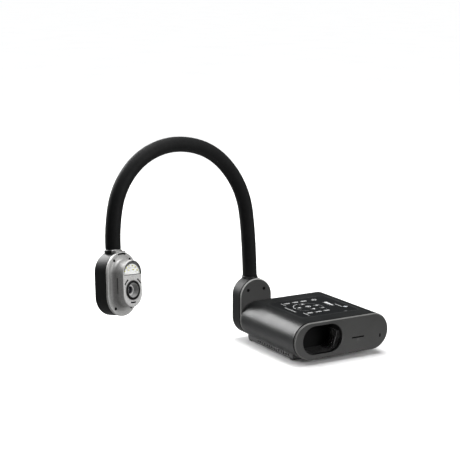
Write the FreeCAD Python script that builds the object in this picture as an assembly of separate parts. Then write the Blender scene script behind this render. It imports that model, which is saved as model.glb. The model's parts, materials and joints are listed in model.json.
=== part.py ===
import FreeCAD, Part
import math
import os
from FreeCAD import Placement, Rotation, Vector

# Document camera: a rounded base with a key panel, a bendable neck and a camera head.
# Millimetres.  The origin is the centre of the slab's outline on the table; +Z is up,
# the front end plate faces -Y and the neck stands at the rear left, towards -X and +Y.

# ---- base slab -------------------------------------------------------------------
BASE_WIDTH = 200.0
SLAB_HEIGHT = 67.0
SLAB_LENGTH = 185.0
TABLE_GAP = 10.0                      # height of the slab's underside above the table
WALL = 3.0
SEAM = 2.2                            # dark line between the shell and its front end plate
END_PLATE = 4.0
END_CHAMFER = 1.8
REAR_PLATE = 3.0

SLAB_RADIUS = SLAB_HEIGHT / 2
SLAB_TOP = TABLE_GAP + SLAB_HEIGHT
SLAB_MID = TABLE_GAP + SLAB_RADIUS
FRONT = -SLAB_LENGTH / 2
BACK = SLAB_LENGTH / 2
FLAT_HALF = BASE_WIDTH / 2 - SLAB_RADIUS
SHELL_Y = (FRONT + END_PLATE + SEAM, BACK - REAR_PLATE)

# ---- openings of the front end plate ---------------------------------------------
DOCK_WIDTH = 83.3
DOCK_HEIGHT = 51.7
DOCK_X = -40.8
DOCK_Z = 43.7
DOCK_BACK = -48.5
LINER_WALL = 2.0
DOCK_RIB = 2.0                        # height of a rib above the pocket's floor
DOCK_RIBS = 6
DOCK_RIB_PITCH = 5.6
DOCK_RIB_RISE = 8.0                   # the ribs end this far above the pocket's middle
CARD_X = (21.0, 47.0)
CARD_Z = (36.4, 38.9)
THUMB_X = 33.5
THUMB_BALL = 9.0
THUMB_DEPTH = 1.6
LOCK_X = 82.2
LOCK_Z = 34.3
LOCK_SIZE = (3.0, 7.0)

# ---- plinth and feet ---------------------------------------------------------------
PLINTH_HALF = 77.0
PLINTH_Y = (-50.0, 88.0)
PLINTH_TAB_X = -50.0
PLINTH_TAB_BACK = 103.3
PLINTH_BOTTOM = 1.5
FOOT = (20.0, 10.0)
FOOT_TOP = 3.0
FOOT_X = 67.3
FOOT_FRONT_Y = -45.3
FOOT_BACK_Y = (96.0, 81.0)            # left foot, right foot
SCREW_XY = [(-56, -30), (56, -30), (-56, 72), (64, 72)]

# ---- inside the base ---------------------------------------------------------------
BALLAST_X = (-66.0, 74.0)
BALLAST_Y = (-40.0, 84.0)
BALLAST_Z = (14.2, 26.2)
BOARD_Z = (32.9, 34.5)
STANDOFF_XY = [(14, -34), (68, -34), (-14, 70), (68, 70)]
KEYBOARD_Z = (67.2, 68.8)
KEYBOARD_X = (-56.0, 57.0)
KEYBOARD_Y = (-44.5, 48.0)
KEYBOARD_BOSS_XY = [(-51, -40), (51, -40), (-51, 43), (44, 43)]

# ---- key panel ---------------------------------------------------------------------
PANEL_X = (-62.0, 62.5)
PANEL_Y = (-58.0, 62.8)
PANEL_THICK = 1.0
PANEL_CORNER = 8.0
KEY_PROUD = 0.9
KEY_GAP = 0.35
NAV = (-9.7, 3.4)
NAV_ARM = 18.9
KEYS = {                              # name: (x, y, width, depth, corner radius)
    "rear_key_left": (-31.5, 40.3, 14.0, 8.0, 2.0),
    "rear_key_middle": (-13.5, 40.3, 14.0, 8.0, 2.0),
    "rear_key_right": (4.5, 40.3, 14.0, 8.0, 2.0),
    "power_key": (27.0, 39.5, 12.0, 12.0, 5.9),
    "nav_up_key": (NAV[0], NAV[1] + NAV_ARM, 13.0, 11.0, 3.0),
    "nav_left_key": (NAV[0] - NAV_ARM, NAV[1], 11.0, 13.0, 3.0),
    "nav_enter_key": (NAV[0], NAV[1], 13.0, 13.0, 6.4),
    "nav_right_key": (NAV[0] + NAV_ARM, NAV[1], 11.0, 13.0, 3.0),
    "nav_down_key": (NAV[0], NAV[1] - NAV_ARM, 13.0, 11.0, 3.0),
    "return_key": (NAV[0] + NAV_ARM, NAV[1] - NAV_ARM, 10.0, 9.0, 2.5),
    "front_key_left": (-31.5, -36.0, 14.0, 8.0, 2.0),
    "front_key_middle": (-13.5, -36.0, 14.0, 8.0, 2.0),
    "front_key_right": (4.5, -36.0, 14.0, 8.0, 2.0),
}
ZOOM = (35.0, 1.8, 9.0, 34.0, 3.0)
ZOOM_STEM = 12.0
LED_XY = (51.0, -27.7)

# ---- knuckle that carries the neck -------------------------------------------------
NECK_X = -FLAT_HALF
NECK_Y = 116.0
KNUCKLE_TOP = 118.5
KNUCKLE_COVER = 3.5
KNUCKLE_GAP = 1.8                     # dark line between the cover and the housing
KNUCKLE_FRONT = BACK + KNUCKLE_COVER + KNUCKLE_GAP
KNUCKLE_BACK = 131.0
KNUCKLE_ROUND = 12.0
KNUCKLE_MOUTH_R = 13.6                # hole in the top of the housing
KNUCKLE_SCREW_R = 2.9
KNUCKLE_SEAT = 2.6                    # depth of the screw heads' seats in the cover
SPIGOT_R = 9.0
SPIGOT_FIT = 0.08
CLAMP_Z = (84.0, 108.0)
COLLAR_R = 14.9
COLLAR_TOP = 119.8

# ---- neck ----------------------------------------------------------------------------
NECK_RADIUS = 13.35
NECK_BORE = 5.0
NECK_TURN = 12.9                      # the arch leans this far forward of -X, degrees
NECK_PITCH = 60.25                    # distance along the neck from joint to joint
NECK_ANGLES = [2, 4, 8.7, 31.1, 49.2, 70.3, 87.9, 110.1, 138.0, 167.9, 181.3]
BALL_R = 16.0
BALL_GAP = 0.3
LINK_START_Z = 120.4

# ---- camera head, in its own frame: x across, y back from the plate's face, z up -----
HEAD_YAW = 19.2
HEAD_PITCH = 7.1
HEAD_ROLL = -5.45
HEAD_WIDTH = 68.6
HEAD_HEIGHT = 108.2
HEAD_PLATE = 4.2
HEAD_GAP = 1.4                        # dark line between the plate and the rear housing
HEAD_BACK = 34.8
HEAD_WALL = 2.5
HEAD_STEP = 0.4                       # the rear housing is this much smaller all round
HEAD_ARC_Z = (HEAD_HEIGHT - HEAD_WIDTH) / 2
HEAD_NECK = (0.0, 20.4, 68.1)         # where the neck's last ball centre lies
HEAD_COLLAR_R = 15.2
HEAD_COLLAR_TOP = 57.8
HEAD_COLLAR_LOW = 50.0
HEAD_SPLIT = 11.4                     # the collar's front is part of the silver plate
STEM_R = 6.0
SLEEVE_R = 9.4
PLATE_SCREWS = [(sx * 18.1, sz * 40.4) for sx in (-1, 1) for sz in (-1, 1)]
SCREW_SEAT = 2.6
SCREW_HEAD_R = 2.5
TOP_SLOT = (31.2, 2.6, 32.0)          # radius, width and spread in degrees

# ---- raised block of the head, with the lamps above the lens ----------------------------
BLOCK_WIDTH = 43.8
BLOCK_HEIGHT = 79.1
BLOCK_Z = 1.7
BLOCK_FRONT = -24.2
BLOCK_ROOT = 6.5                      # fillet where the block leaves the plate
BLOCK_ARC_Z = BLOCK_Z + (BLOCK_HEIGHT - BLOCK_WIDTH) / 2
GROOVE_Y = (-11.3, -9.3)
GROOVE_Z = (-15.0, 12.0)
LAMP_OPENING_R = 20.4                 # concentric with the block's round top
LAMP_R = 18.6                         # half disc inside the bezel, centred on its base
LAMP_BASE_Z = 16.1
LAMP_BOARD_Y = (BLOCK_FRONT + 5.2, BLOCK_FRONT + 6.7)
CHIP = (3.0, 1.6)                     # side and height of one lamp
CHIP_ARC = (16.0, (26, 50, 74, 106, 130, 154))
CHIP_PAIR = (5.5, 8.4)
LENS_Z = -9.5
LENS_RING = (12.4, 16.2)
LENS_DEPTH = 8.0
LENS_STEP_R = 9.0
APERTURE_R = 6.5
LENS_SLOT = (20.8, 1.7, 27.0)         # radius, width and spread in degrees
LENS_SLOT_ANGLES = (44, 136, 269)


# ---- small helpers -------------------------------------------------------------------
def box(x, y, z):
    """Box between three pairs of low and high coordinates."""
    return Part.makeBox(x[1] - x[0], y[1] - y[0], z[1] - z[0], Vector(x[0], y[0], z[0]))


def block_at(x, y, width, depth, z):
    """Box centred on x and y."""
    return box((x - width / 2, x + width / 2), (y - depth / 2, y + depth / 2), z)


def rod(radius, start, length, axis=(0, 0, 1)):
    return Part.makeCylinder(radius, length, Vector(*start), Vector(*axis))


def stadium(width, height, x, z, y):
    """Outline with half-round ends in the XZ plane, extruded between the two y values."""
    radius = min(width, height) / 2
    dx, dz = width / 2 - radius, height / 2 - radius
    if width >= height:
        corner = [(dx, radius), (dx, -radius), (-dx, -radius), (-dx, radius)]
        tips = [(dx + radius, 0), (-dx - radius, 0)]
    else:
        corner = [(-radius, dz), (radius, dz), (radius, -dz), (-radius, -dz)]
        tips = [(0, dz + radius), (0, -dz - radius)]

    def at(point):
        return Vector(x + point[0], y[0], z + point[1])

    edges = []
    for index in range(2):
        start, end = corner[2 * index], corner[2 * index + 1]
        after = corner[(2 * index + 2) % 4]
        edges.append(Part.Arc(at(start), at(tips[index]), at(end)).toShape())
        edges.append(Part.makeLine(at(end), at(after)))
    return Part.Face(Part.Wire(edges)).extrude(Vector(0, y[1] - y[0], 0))


def rounded_pad(x, y, width, depth, radius, z):
    """Plate with rounded corners in the XY plane, between the two z values."""
    pad = block_at(x, y, width, depth, z)
    return pad.makeFillet(radius, [e for e in pad.Edges if abs(e.BoundBox.ZLength) > 1e-6
                                   and e.BoundBox.XLength < 1e-6 and e.BoundBox.YLength < 1e-6])


def edges_at_y(shape, y):
    """Edges that lie in the plane of the given y."""
    return [e for e in shape.Edges
            if abs(e.BoundBox.YMin - y) < 1e-6 and abs(e.BoundBox.YMax - y) < 1e-6]


def fuse(shapes):
    first, rest = shapes[0], shapes[1:]
    return first.multiFuse(rest).removeSplitter() if rest else first


def cut(shape, tools):
    return shape.cut(Part.makeCompound(tools))


def save(name, shape):
    """Write one node; a group of separate pieces stays a compound of its solids."""
    solids = shape.Solids
    result = solids[0] if len(solids) == 1 else Part.makeCompound(solids)
    if not result.isValid() or result.Volume <= 0:
        raise ValueError(name + " is not a valid solid")
    result.exportStep("parts/" + name + ".step")


# ---- base ------------------------------------------------------------------------------
def slab_outline(inset, y):
    return stadium(BASE_WIDTH - 2 * inset, SLAB_HEIGHT - 2 * inset, 0, SLAB_MID, y)


def key_holes(z):
    """Cutters for every key, a little larger than the caps."""
    cutters = [rounded_pad(x, y, w + 2 * KEY_GAP, d + 2 * KEY_GAP, r, z)
               for x, y, w, d, r in list(KEYS.values()) + [ZOOM]]
    cutters.append(rod(2.2, (LED_XY[0], LED_XY[1], z[0]), z[1] - z[0]))
    return cutters


def base_shell():
    shell = slab_outline(0, SHELL_Y).cut(slab_outline(WALL, (FRONT, BACK)))
    bosses = [rod(3.5, (x, y, KEYBOARD_Z[1]), SLAB_TOP - 2 - KEYBOARD_Z[1])
              for x, y in KEYBOARD_BOSS_XY]
    shell = fuse([shell] + bosses)
    panel_mid = (sum(PANEL_X) / 2, sum(PANEL_Y) / 2)
    recess = rounded_pad(panel_mid[0], panel_mid[1], PANEL_X[1] - PANEL_X[0],
                         PANEL_Y[1] - PANEL_Y[0], PANEL_CORNER,
                         (SLAB_TOP - PANEL_THICK, SLAB_TOP + 1))
    cutters = [recess] + key_holes((SLAB_TOP - WALL - 1, SLAB_TOP))
    cutters += [rod(1.25, (x, y, KEYBOARD_Z[1]), 5) for x, y in KEYBOARD_BOSS_XY]
    cutters += [rod(2.3, (x, y, TABLE_GAP - 1), WALL + 2) for x, y in SCREW_XY]
    return cut(shell, cutters)


def control_panel_overlay():
    x, y = sum(PANEL_X) / 2, sum(PANEL_Y) / 2
    sheet = rounded_pad(x, y, PANEL_X[1] - PANEL_X[0] - 0.3, PANEL_Y[1] - PANEL_Y[0] - 0.3,
                        PANEL_CORNER - 0.15, (SLAB_TOP - PANEL_THICK, SLAB_TOP))
    return cut(sheet, key_holes((SLAB_TOP - 2, SLAB_TOP + 1)))


def front_end_plate():
    plate = slab_outline(0, (FRONT, FRONT + END_PLATE))
    plate = plate.makeChamfer(END_CHAMFER, edges_at_y(plate, FRONT))
    lip_y = (FRONT + END_PLATE, FRONT + END_PLATE + 5)
    lip = slab_outline(WALL + 0.3, lip_y).cut(slab_outline(WALL + 1.9, lip_y))
    through = (FRONT - 1, FRONT + END_PLATE + 1)
    dock = stadium(DOCK_WIDTH, DOCK_HEIGHT, DOCK_X, DOCK_Z, through)
    card = box(CARD_X, through, CARD_Z)
    thumb = Part.makeSphere(THUMB_BALL, Vector(THUMB_X, FRONT + THUMB_DEPTH - THUMB_BALL, CARD_Z[0]))
    thumb = thumb.cut(box((THUMB_X - 20, THUMB_X + 20), (FRONT - 20, FRONT + 20),
                          (CARD_Z[0] + 0.1, CARD_Z[0] + 20)))
    lock = stadium(LOCK_SIZE[0], LOCK_SIZE[1], LOCK_X, LOCK_Z, through)
    plate = cut(fuse([plate, lip]), [dock, card, thumb, lock])
    rim = [e for e in edges_at_y(plate, FRONT)
           if abs(e.CenterOfMass.x - DOCK_X) < DOCK_WIDTH / 2 + 1
           and e.BoundBox.XMax < DOCK_X + DOCK_WIDTH / 2 + 1
           and e.BoundBox.ZMax < DOCK_Z + DOCK_HEIGHT / 2 + 1
           and e.BoundBox.ZMin > DOCK_Z - DOCK_HEIGHT / 2 - 1]
    return plate.makeChamfer(1.0, rim)


def dock_liner():
    """Pocket behind the dock opening, with ribs that follow its floor and sides."""
    mouth = FRONT + END_PLATE
    outer = stadium(DOCK_WIDTH + 2 * LINER_WALL, DOCK_HEIGHT + 2 * LINER_WALL, DOCK_X, DOCK_Z,
                    (mouth, DOCK_BACK + LINER_WALL))
    inner = stadium(DOCK_WIDTH, DOCK_HEIGHT, DOCK_X, DOCK_Z, (mouth - 1, DOCK_BACK))
    below = box((DOCK_X - DOCK_WIDTH, DOCK_X + DOCK_WIDTH), (mouth, DOCK_BACK),
                (0, DOCK_Z + DOCK_RIB_RISE))
    ribs = []
    for index in range(DOCK_RIBS):
        start = mouth + 6 + index * DOCK_RIB_PITCH
        rib_y = (start, start + 1.6)
        ring = stadium(DOCK_WIDTH + 1, DOCK_HEIGHT + 1, DOCK_X, DOCK_Z, rib_y)
        ring = ring.cut(stadium(DOCK_WIDTH - 2 * DOCK_RIB, DOCK_HEIGHT - 2 * DOCK_RIB,
                                DOCK_X, DOCK_Z, rib_y))
        ribs.append(ring.common(below))
    return fuse([outer.cut(inner)] + ribs)


def sockets():
    """Centre x, width, height and kind of the sockets on the back edge of the board."""
    return [(-13.0, 9.0, 11.0, "round"), (3.5, 13.2, 6.0, "slot"), (19.5, 15.0, 6.0, "slot"),
            (37.5, 15.0, 6.0, "slot"), (61.0, 31.0, 12.5, "screwed")]


def rear_end_plate():
    plate = slab_outline(0, (BACK - REAR_PLATE, BACK))
    plate = plate.makeChamfer(0.8, edges_at_y(plate, BACK))
    lip_y = (BACK - REAR_PLATE - 5, BACK - REAR_PLATE)
    lip = slab_outline(WALL + 0.3, lip_y).cut(slab_outline(WALL + 1.9, lip_y))
    through = (BACK - REAR_PLATE - 1, BACK + 1)
    cutters = [box((x - w / 2 - 0.4, x + w / 2 + 0.4), through,
                   (BOARD_Z[1] - 0.2, BOARD_Z[1] + h + 0.4)) for x, w, h, _ in sockets()]
    cutters.append(rod(HARNESS_HOLE, (HARNESS_X, through[0], HARNESS_Z), 6, (0, 1, 0)))
    return cut(fuse([plate, lip]), cutters)


def bottom_cover():
    """Plinth tray under the slab, with upright vent slots along both sides."""
    wall, floor, slot_pitch = 4.0, 2.5, 8.0
    upper = 18.0
    body = box((-PLINTH_HALF, PLINTH_HALF), PLINTH_Y, (PLINTH_BOTTOM, upper))
    tab = box((-PLINTH_HALF, PLINTH_TAB_X), (PLINTH_Y[1], PLINTH_TAB_BACK), (PLINTH_BOTTOM, upper))
    tray = fuse([body, tab])
    tray = tray.cut(slab_outline(0, (FRONT - 5, KNUCKLE_BACK)))
    slope = Part.Face(Part.makePolygon([Vector(-PLINTH_HALF - 1, PLINTH_TAB_BACK + 1, -8),
                                        Vector(-PLINTH_HALF - 1, PLINTH_TAB_BACK + 1, 9),
                                        Vector(-PLINTH_HALF - 1, PLINTH_TAB_BACK - 6.5, -8),
                                        Vector(-PLINTH_HALF - 1, PLINTH_TAB_BACK + 1, -8)]))
    slope = slope.extrude(Vector(40, 0, 0))
    hollow = box((-PLINTH_HALF + wall, PLINTH_HALF - wall), (PLINTH_Y[0] + wall, PLINTH_Y[1] - wall),
                 (PLINTH_BOTTOM + floor, TABLE_GAP + 1))
    cutters = [slope, hollow]
    slots = int((PLINTH_Y[1] - PLINTH_Y[0] - 24) / slot_pitch)
    for side in (-1, 1):
        for index in range(slots):
            y = PLINTH_Y[0] + 14 + index * slot_pitch
            cutters.append(block_at(side * PLINTH_HALF, y, 2 * wall + 2, 4.2,
                                    (PLINTH_BOTTOM + floor, 8.8)))
    posts = [rod(6.0, (x, y, PLINTH_BOTTOM), TABLE_GAP - PLINTH_BOTTOM) for x, y in SCREW_XY]
    cover = fuse([cut(tray, cutters)] + posts)
    drills = []
    for x, y in SCREW_XY:
        drills.append(rod(2.3, (x, y, 0), TABLE_GAP + 1))
        drills.append(rod(4.2, (x, y, 0), PLINTH_BOTTOM + 3))
    drills += [block_at(x, y, FOOT[0] + 0.2, FOOT[1] + 0.2, (0, FOOT_TOP)) for x, y in feet_places()]
    return cut(cover, drills)


def feet_places():
    return [(-FOOT_X, FOOT_FRONT_Y), (FOOT_X, FOOT_FRONT_Y),
            (-FOOT_X, FOOT_BACK_Y[0]), (FOOT_X, FOOT_BACK_Y[1])]


def rubber_feet():
    return Part.makeCompound([rounded_pad(x, y, FOOT[0], FOOT[1], 2.0, (0, FOOT_TOP))
                              for x, y in feet_places()])


def base_screws():
    """Long screws from the plinth into the ballast plate."""
    screws = []
    for x, y in SCREW_XY:
        head = rod(3.8, (x, y, PLINTH_BOTTOM + 0.2), 2.8)
        socket = rod(1.6, (x, y, PLINTH_BOTTOM), 2.0)
        shank = rod(2.0, (x, y, PLINTH_BOTTOM + 3), BALLAST_Z[1] - PLINTH_BOTTOM - 3)
        screws.append(fuse([head, shank]).cut(socket))
    return Part.makeCompound(screws)


def ballast_plate():
    plate = box(BALLAST_X, BALLAST_Y, BALLAST_Z)
    holes = [rod(2.05, (x, y, BALLAST_Z[0] - 1), BALLAST_Z[1] - BALLAST_Z[0] + 2)
             for x, y in SCREW_XY]
    feet = [block_at(x, y, 12, 12, (TABLE_GAP + WALL, BALLAST_Z[0])) for x, y in
            [(-40, -25), (40, -25), (-40, 70), (40, 70)]]
    return cut(fuse([plate] + feet), holes)


def main_board():
    rear = box((-20, 78), (-43, 80), BOARD_Z)
    front = box((8, 72), (-86, -43), BOARD_Z)
    holes = [rod(1.6, (x, y, BOARD_Z[0] - 1), 4) for x, y in STANDOFF_XY]
    return cut(fuse([rear, front]), holes)


def board_fixings():
    """Standoffs and screws of the main board, and the screws of the key board."""
    pieces = []
    for x, y in STANDOFF_XY:
        stand = rod(3.0, (x, y, BALLAST_Z[1]), BOARD_Z[0] - BALLAST_Z[1])
        pieces.append(stand.cut(rod(1.4, (x, y, BOARD_Z[0] - 4), 5)))
        pieces.append(fuse([rod(2.8, (x, y, BOARD_Z[1]), 1.8), rod(1.4, (x, y, BOARD_Z[0] - 3), 5)]))
    for x, y in KEYBOARD_BOSS_XY:
        low = KEYBOARD_Z[0]
        pieces.append(fuse([rod(2.4, (x, y, low - 1.6), 1.6), rod(1.2, (x, y, low - 1), 5)]))
    return Part.makeCompound(pieces)


def heat_sink():
    foot, fins = 34.0, 8
    pieces = [block_at(41, 20, foot, foot, (BOARD_Z[1] + 2.2, BOARD_Z[1] + 4.5))]
    for index in range(fins):
        x = 41 - foot / 2 + 0.7 + index * (foot - 1.4) / (fins - 1)
        pieces.append(block_at(x, 20, 1.4, foot, (BOARD_Z[1] + 4, BOARD_Z[1] + 14)))
    pieces.append(block_at(41, 20, 22, 22, (BOARD_Z[1], BOARD_Z[1] + 2.2)))
    return fuse(pieces)


def sd_card_socket():
    y = (FRONT + END_PLATE + 0.2, -60)
    body = box((CARD_X[0] - 2, CARD_X[1] + 2), y, (BOARD_Z[1], CARD_Z[1] + 1.2))
    return body.cut(box(CARD_X, (FRONT, -63), CARD_Z))


def rear_sockets():
    pieces = []
    for x, width, height, kind in sockets():
        low = BOARD_Z[1]
        body = box((x - width / 2, x + width / 2), (74, BACK - 0.8), (low, low + height))
        if kind == "round":
            inside = [rod(3.2, (x, 80, low + 6), 20, (0, 1, 0))]
            pieces.append(fuse([cut(body, inside), rod(1.0, (x, 79, low + 6), 11, (0, 1, 0))]))
        elif kind == "slot":
            inside = box((x - width / 2 + 1, x + width / 2 - 1), (80, BACK + 1),
                         (low + 1, low + height - 1))
            tongue = box((x - width / 2 + 2, x + width / 2 - 2), (79, BACK - 3),
                         (low + height / 2 - 0.6, low + height / 2 + 0.6))
            pieces.append(fuse([body.cut(inside), tongue]))
        else:
            inside = box((x - 8.4, x + 8.4), (84, BACK + 1), (low + 2, low + height - 2))
            nuts = [rod(2.2, (x + side * 12.3, BACK - 0.9, low + height / 2), 3.2, (0, 1, 0))
                    for side in (-1, 1)]
            pieces.append(fuse([body.cut(inside)] + nuts))
    return Part.makeCompound(pieces)


# ---- keys --------------------------------------------------------------------------------
def keypad_board():
    board = box(KEYBOARD_X, KEYBOARD_Y, KEYBOARD_Z)
    return cut(board, [rod(1.3, (x, y, KEYBOARD_Z[0] - 1), 4) for x, y in KEYBOARD_BOSS_XY])


def switch_places():
    places = [(x, y) for x, y, _, _, _ in KEYS.values()]
    return places + [(ZOOM[0], ZOOM[1] + side * ZOOM_STEM) for side in (-1, 1)]


def dome_switches():
    return Part.makeCompound([rod(3.0, (x, y, KEYBOARD_Z[1]), 0.6) for x, y in switch_places()])


def status_led():
    x, y = LED_XY
    return rod(2.0, (x, y, KEYBOARD_Z[1]), SLAB_TOP + 0.1 - KEYBOARD_Z[1])


def key_cap(x, y, width, depth, radius):
    """Cap, retaining flange under the shell and stem over its dome switch."""
    top = SLAB_TOP + KEY_PROUD
    cap = rounded_pad(x, y, width, depth, radius, (73.4, top))
    cap = cap.makeChamfer(0.35, [e for e in cap.Edges if e.BoundBox.ZMin > top - 1e-6])
    flange = rounded_pad(x, y, width + 2.4, depth + 2.4, radius, (72.2, 73.6))
    return fuse([cap, flange, rod(2.2, (x, y, 70.6), 2)])


def zoom_rocker():
    x, y, width, depth, radius = ZOOM
    top = SLAB_TOP + KEY_PROUD
    cap = rounded_pad(x, y, width, depth, radius, (72.6, top))
    cap = cap.makeChamfer(0.35, [e for e in cap.Edges if e.BoundBox.ZMin > top - 1e-6])
    flange = block_at(x, y, width + 2.4, 8, (72.2, 73.6))
    stems = [rod(2.2, (x, y + side * ZOOM_STEM, 70.7), 2.2) for side in (-1, 1)]
    return fuse([cap, flange] + stems)


# ---- knuckle ------------------------------------------------------------------------------
def knuckle_outline(inset, y):
    height = KNUCKLE_TOP - TABLE_GAP
    return stadium(SLAB_HEIGHT - 2 * inset, height - 2 * inset, NECK_X,
                   TABLE_GAP + height / 2, y)


def knuckle_screw_places():
    return [(NECK_X + side * 17, 98.0) for side in (-1, 1)]


def knuckle_front_cover():
    cover = knuckle_outline(0, (BACK, BACK + KNUCKLE_COVER))
    cover = cover.makeChamfer(END_CHAMFER, edges_at_y(cover, BACK))
    holes = []
    for x, z in knuckle_screw_places():
        holes.append(rod(KNUCKLE_SCREW_R + 0.1, (x, BACK - 1, z), KNUCKLE_SEAT + 1, (0, 1, 0)))
        holes.append(rod(1.7, (x, BACK, z), KNUCKLE_COVER + 1, (0, 1, 0)))
    holes.append(rod(HARNESS_HOLE, (HARNESS_X, BACK - 1, HARNESS_Z), 6, (0, 1, 0)))
    return cut(cover, holes)


def knuckle_body():
    """Solid outer form of the housing behind the front cover."""
    body = knuckle_outline(0, (KNUCKLE_FRONT, KNUCKLE_BACK))
    return body.makeFillet(KNUCKLE_ROUND, edges_at_y(body, KNUCKLE_BACK))


def knuckle_housing():
    inside = knuckle_outline(WALL, (KNUCKLE_FRONT - 1, KNUCKLE_BACK - WALL))
    inside = inside.makeFillet(KNUCKLE_ROUND - WALL, edges_at_y(inside, KNUCKLE_BACK - WALL))
    start = BACK + KNUCKLE_COVER
    boss = KNUCKLE_BACK - WALL + 1 - start
    bosses = [rod(3.6, (x, start, z), boss, (0, 1, 0)) for x, z in knuckle_screw_places()]
    drills = [rod(1.6, (x, start - 1, z), 14, (0, 1, 0)) for x, z in knuckle_screw_places()]
    opening = rod(KNUCKLE_MOUTH_R, (NECK_X, NECK_Y, 108.5), 20)
    return cut(fuse([knuckle_body().cut(inside)] + bosses), drills + [opening])


def knuckle_screws():
    screws = []
    for x, z in knuckle_screw_places():
        seat = BACK + KNUCKLE_SEAT
        head = rod(KNUCKLE_SCREW_R, (x, seat - 1.9, z), 1.9, (0, 1, 0))
        socket = rod(1.2, (x, seat - 2, z), 1.2, (0, 1, 0))
        shank = rod(1.5, (x, seat, z), 11, (0, 1, 0))
        screws.append(fuse([head, shank]).cut(socket))
    return Part.makeCompound(screws)


def neck_clamp():
    """Block in the knuckle whose bore holds the neck's spigot."""
    block = box((NECK_X - 12.8, NECK_X + 12.8), (KNUCKLE_FRONT, KNUCKLE_BACK - WALL - 1.5), CLAMP_Z)
    block = block.common(knuckle_outline(WALL, (KNUCKLE_FRONT, KNUCKLE_BACK)))
    return block.cut(rod(SPIGOT_R + SPIGOT_FIT, (NECK_X, NECK_Y, CLAMP_Z[0] - 1), 30))


def lower_collar():
    """Ring that closes the gap where the neck leaves the knuckle."""
    lip = rod(COLLAR_R, (NECK_X, NECK_Y, CLAMP_Z[1]), COLLAR_TOP - CLAMP_Z[1])
    lip = lip.makeFillet(1.2, [e for e in lip.Edges if e.BoundBox.ZMin > COLLAR_TOP - 1e-6])
    ring = rod(KNUCKLE_MOUTH_R - 0.2, (NECK_X, NECK_Y, CLAMP_Z[1]), COLLAR_TOP - 4 - CLAMP_Z[1])
    bore = rod(SPIGOT_R + 0.5, (NECK_X, NECK_Y, 100), 30)
    return cut(fuse([lip.cut(knuckle_body()), ring]), [bore, knuckle_housing()])


# ---- wiring from the board to the neck ----------------------------------------------------
HARNESS_R = 2.6
HARNESS_HOLE = 6.0
HARNESS_X = -57.5
HARNESS_Z = 57.0
HARNESS_ROUTE = [(-13, 52, 38.5), (-26, 56, 47), (-44, 65, 54), (-55.5, 82, 56.6),
                 (-59.5, 101, 58), (-64.5, 112, 65), (-66.5, 116, 79)]


def rounded_route(points):
    """Straight runs joined by tangent arcs, each as large as its two runs allow."""
    share = 0.45
    points = [Vector(*p) for p in points]
    edges, start = [], points[0]
    for before, here, after in zip(points, points[1:], points[2:]):
        back, ahead = (before - here), (after - here)
        setback = share * min(back.Length, ahead.Length)
        back.normalize()
        ahead.normalize()
        entry, leave = here + back * setback, here + ahead * setback
        half_turn = (math.pi - back.getAngle(ahead)) / 2
        radius = setback / math.tan(half_turn)
        inward = back + ahead
        inward.normalize()
        middle = here + inward * (radius / math.cos(half_turn) - radius)
        edges.append(Part.makeLine(start, entry))
        edges.append(Part.Arc(entry, middle, leave).toShape())
        start = leave
    edges.append(Part.makeLine(start, points[-1]))
    return Part.Wire(edges)


def base_harness():
    path = rounded_route(HARNESS_ROUTE)
    start = Vector(*HARNESS_ROUTE[0])
    direction = Vector(*HARNESS_ROUTE[1]) - start
    ring = Part.Wire(Part.makeCircle(HARNESS_R, start, direction))
    cable = path.makePipeShell([ring], True, True)
    plug = box((-17, -9), (47, 55), (BOARD_Z[1], 41))
    return Part.makeCompound([cable.cut(plug), plug])


# ---- neck ---------------------------------------------------------------------------------
TURN = math.radians(NECK_TURN)
REACH = Vector(-math.cos(TURN), -math.sin(TURN), 0)      # horizontal direction of the arch
BEND_AXIS = Vector(math.sin(TURN), -math.cos(TURN), 0)   # every neck hinge lies along this
UP = Vector(0, 0, 1)


def heading(angle):
    """Direction of the neck where it has turned this many degrees from upright."""
    return REACH * math.sin(math.radians(angle)) + UP * math.cos(math.radians(angle))


def neck_joints():
    """Ball centres from the knuckle to the head, one arc apart."""
    points = [Vector(NECK_X, NECK_Y, KNUCKLE_TOP)]
    for a, b in zip(NECK_ANGLES, NECK_ANGLES[1:]):
        half = math.radians(b - a) / 2
        chord = NECK_PITCH * math.sin(half) / half
        points.append(points[-1] + heading((a + b) / 2) * chord)
    return points


JOINTS = neck_joints()


def neck_tube(index, length, bore=NECK_BORE):
    """Stretch of tube that starts at a joint and follows the neck's curve there."""
    start, angle = JOINTS[index], NECK_ANGLES[index]
    along = heading(angle)
    ring = Part.Face(Part.Wire(Part.makeCircle(NECK_RADIUS, start, along)))
    ring = ring.cut(Part.Face(Part.Wire(Part.makeCircle(bore, start, along))))
    if index == len(NECK_ANGLES) - 1:
        return ring.extrude(along * length)
    bend = math.radians(NECK_ANGLES[index + 1] - angle)
    radius = NECK_PITCH / bend
    centre = start + heading(angle + 90) * radius
    return ring.revolve(centre, BEND_AXIS, math.degrees(bend) * length / NECK_PITCH)


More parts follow.
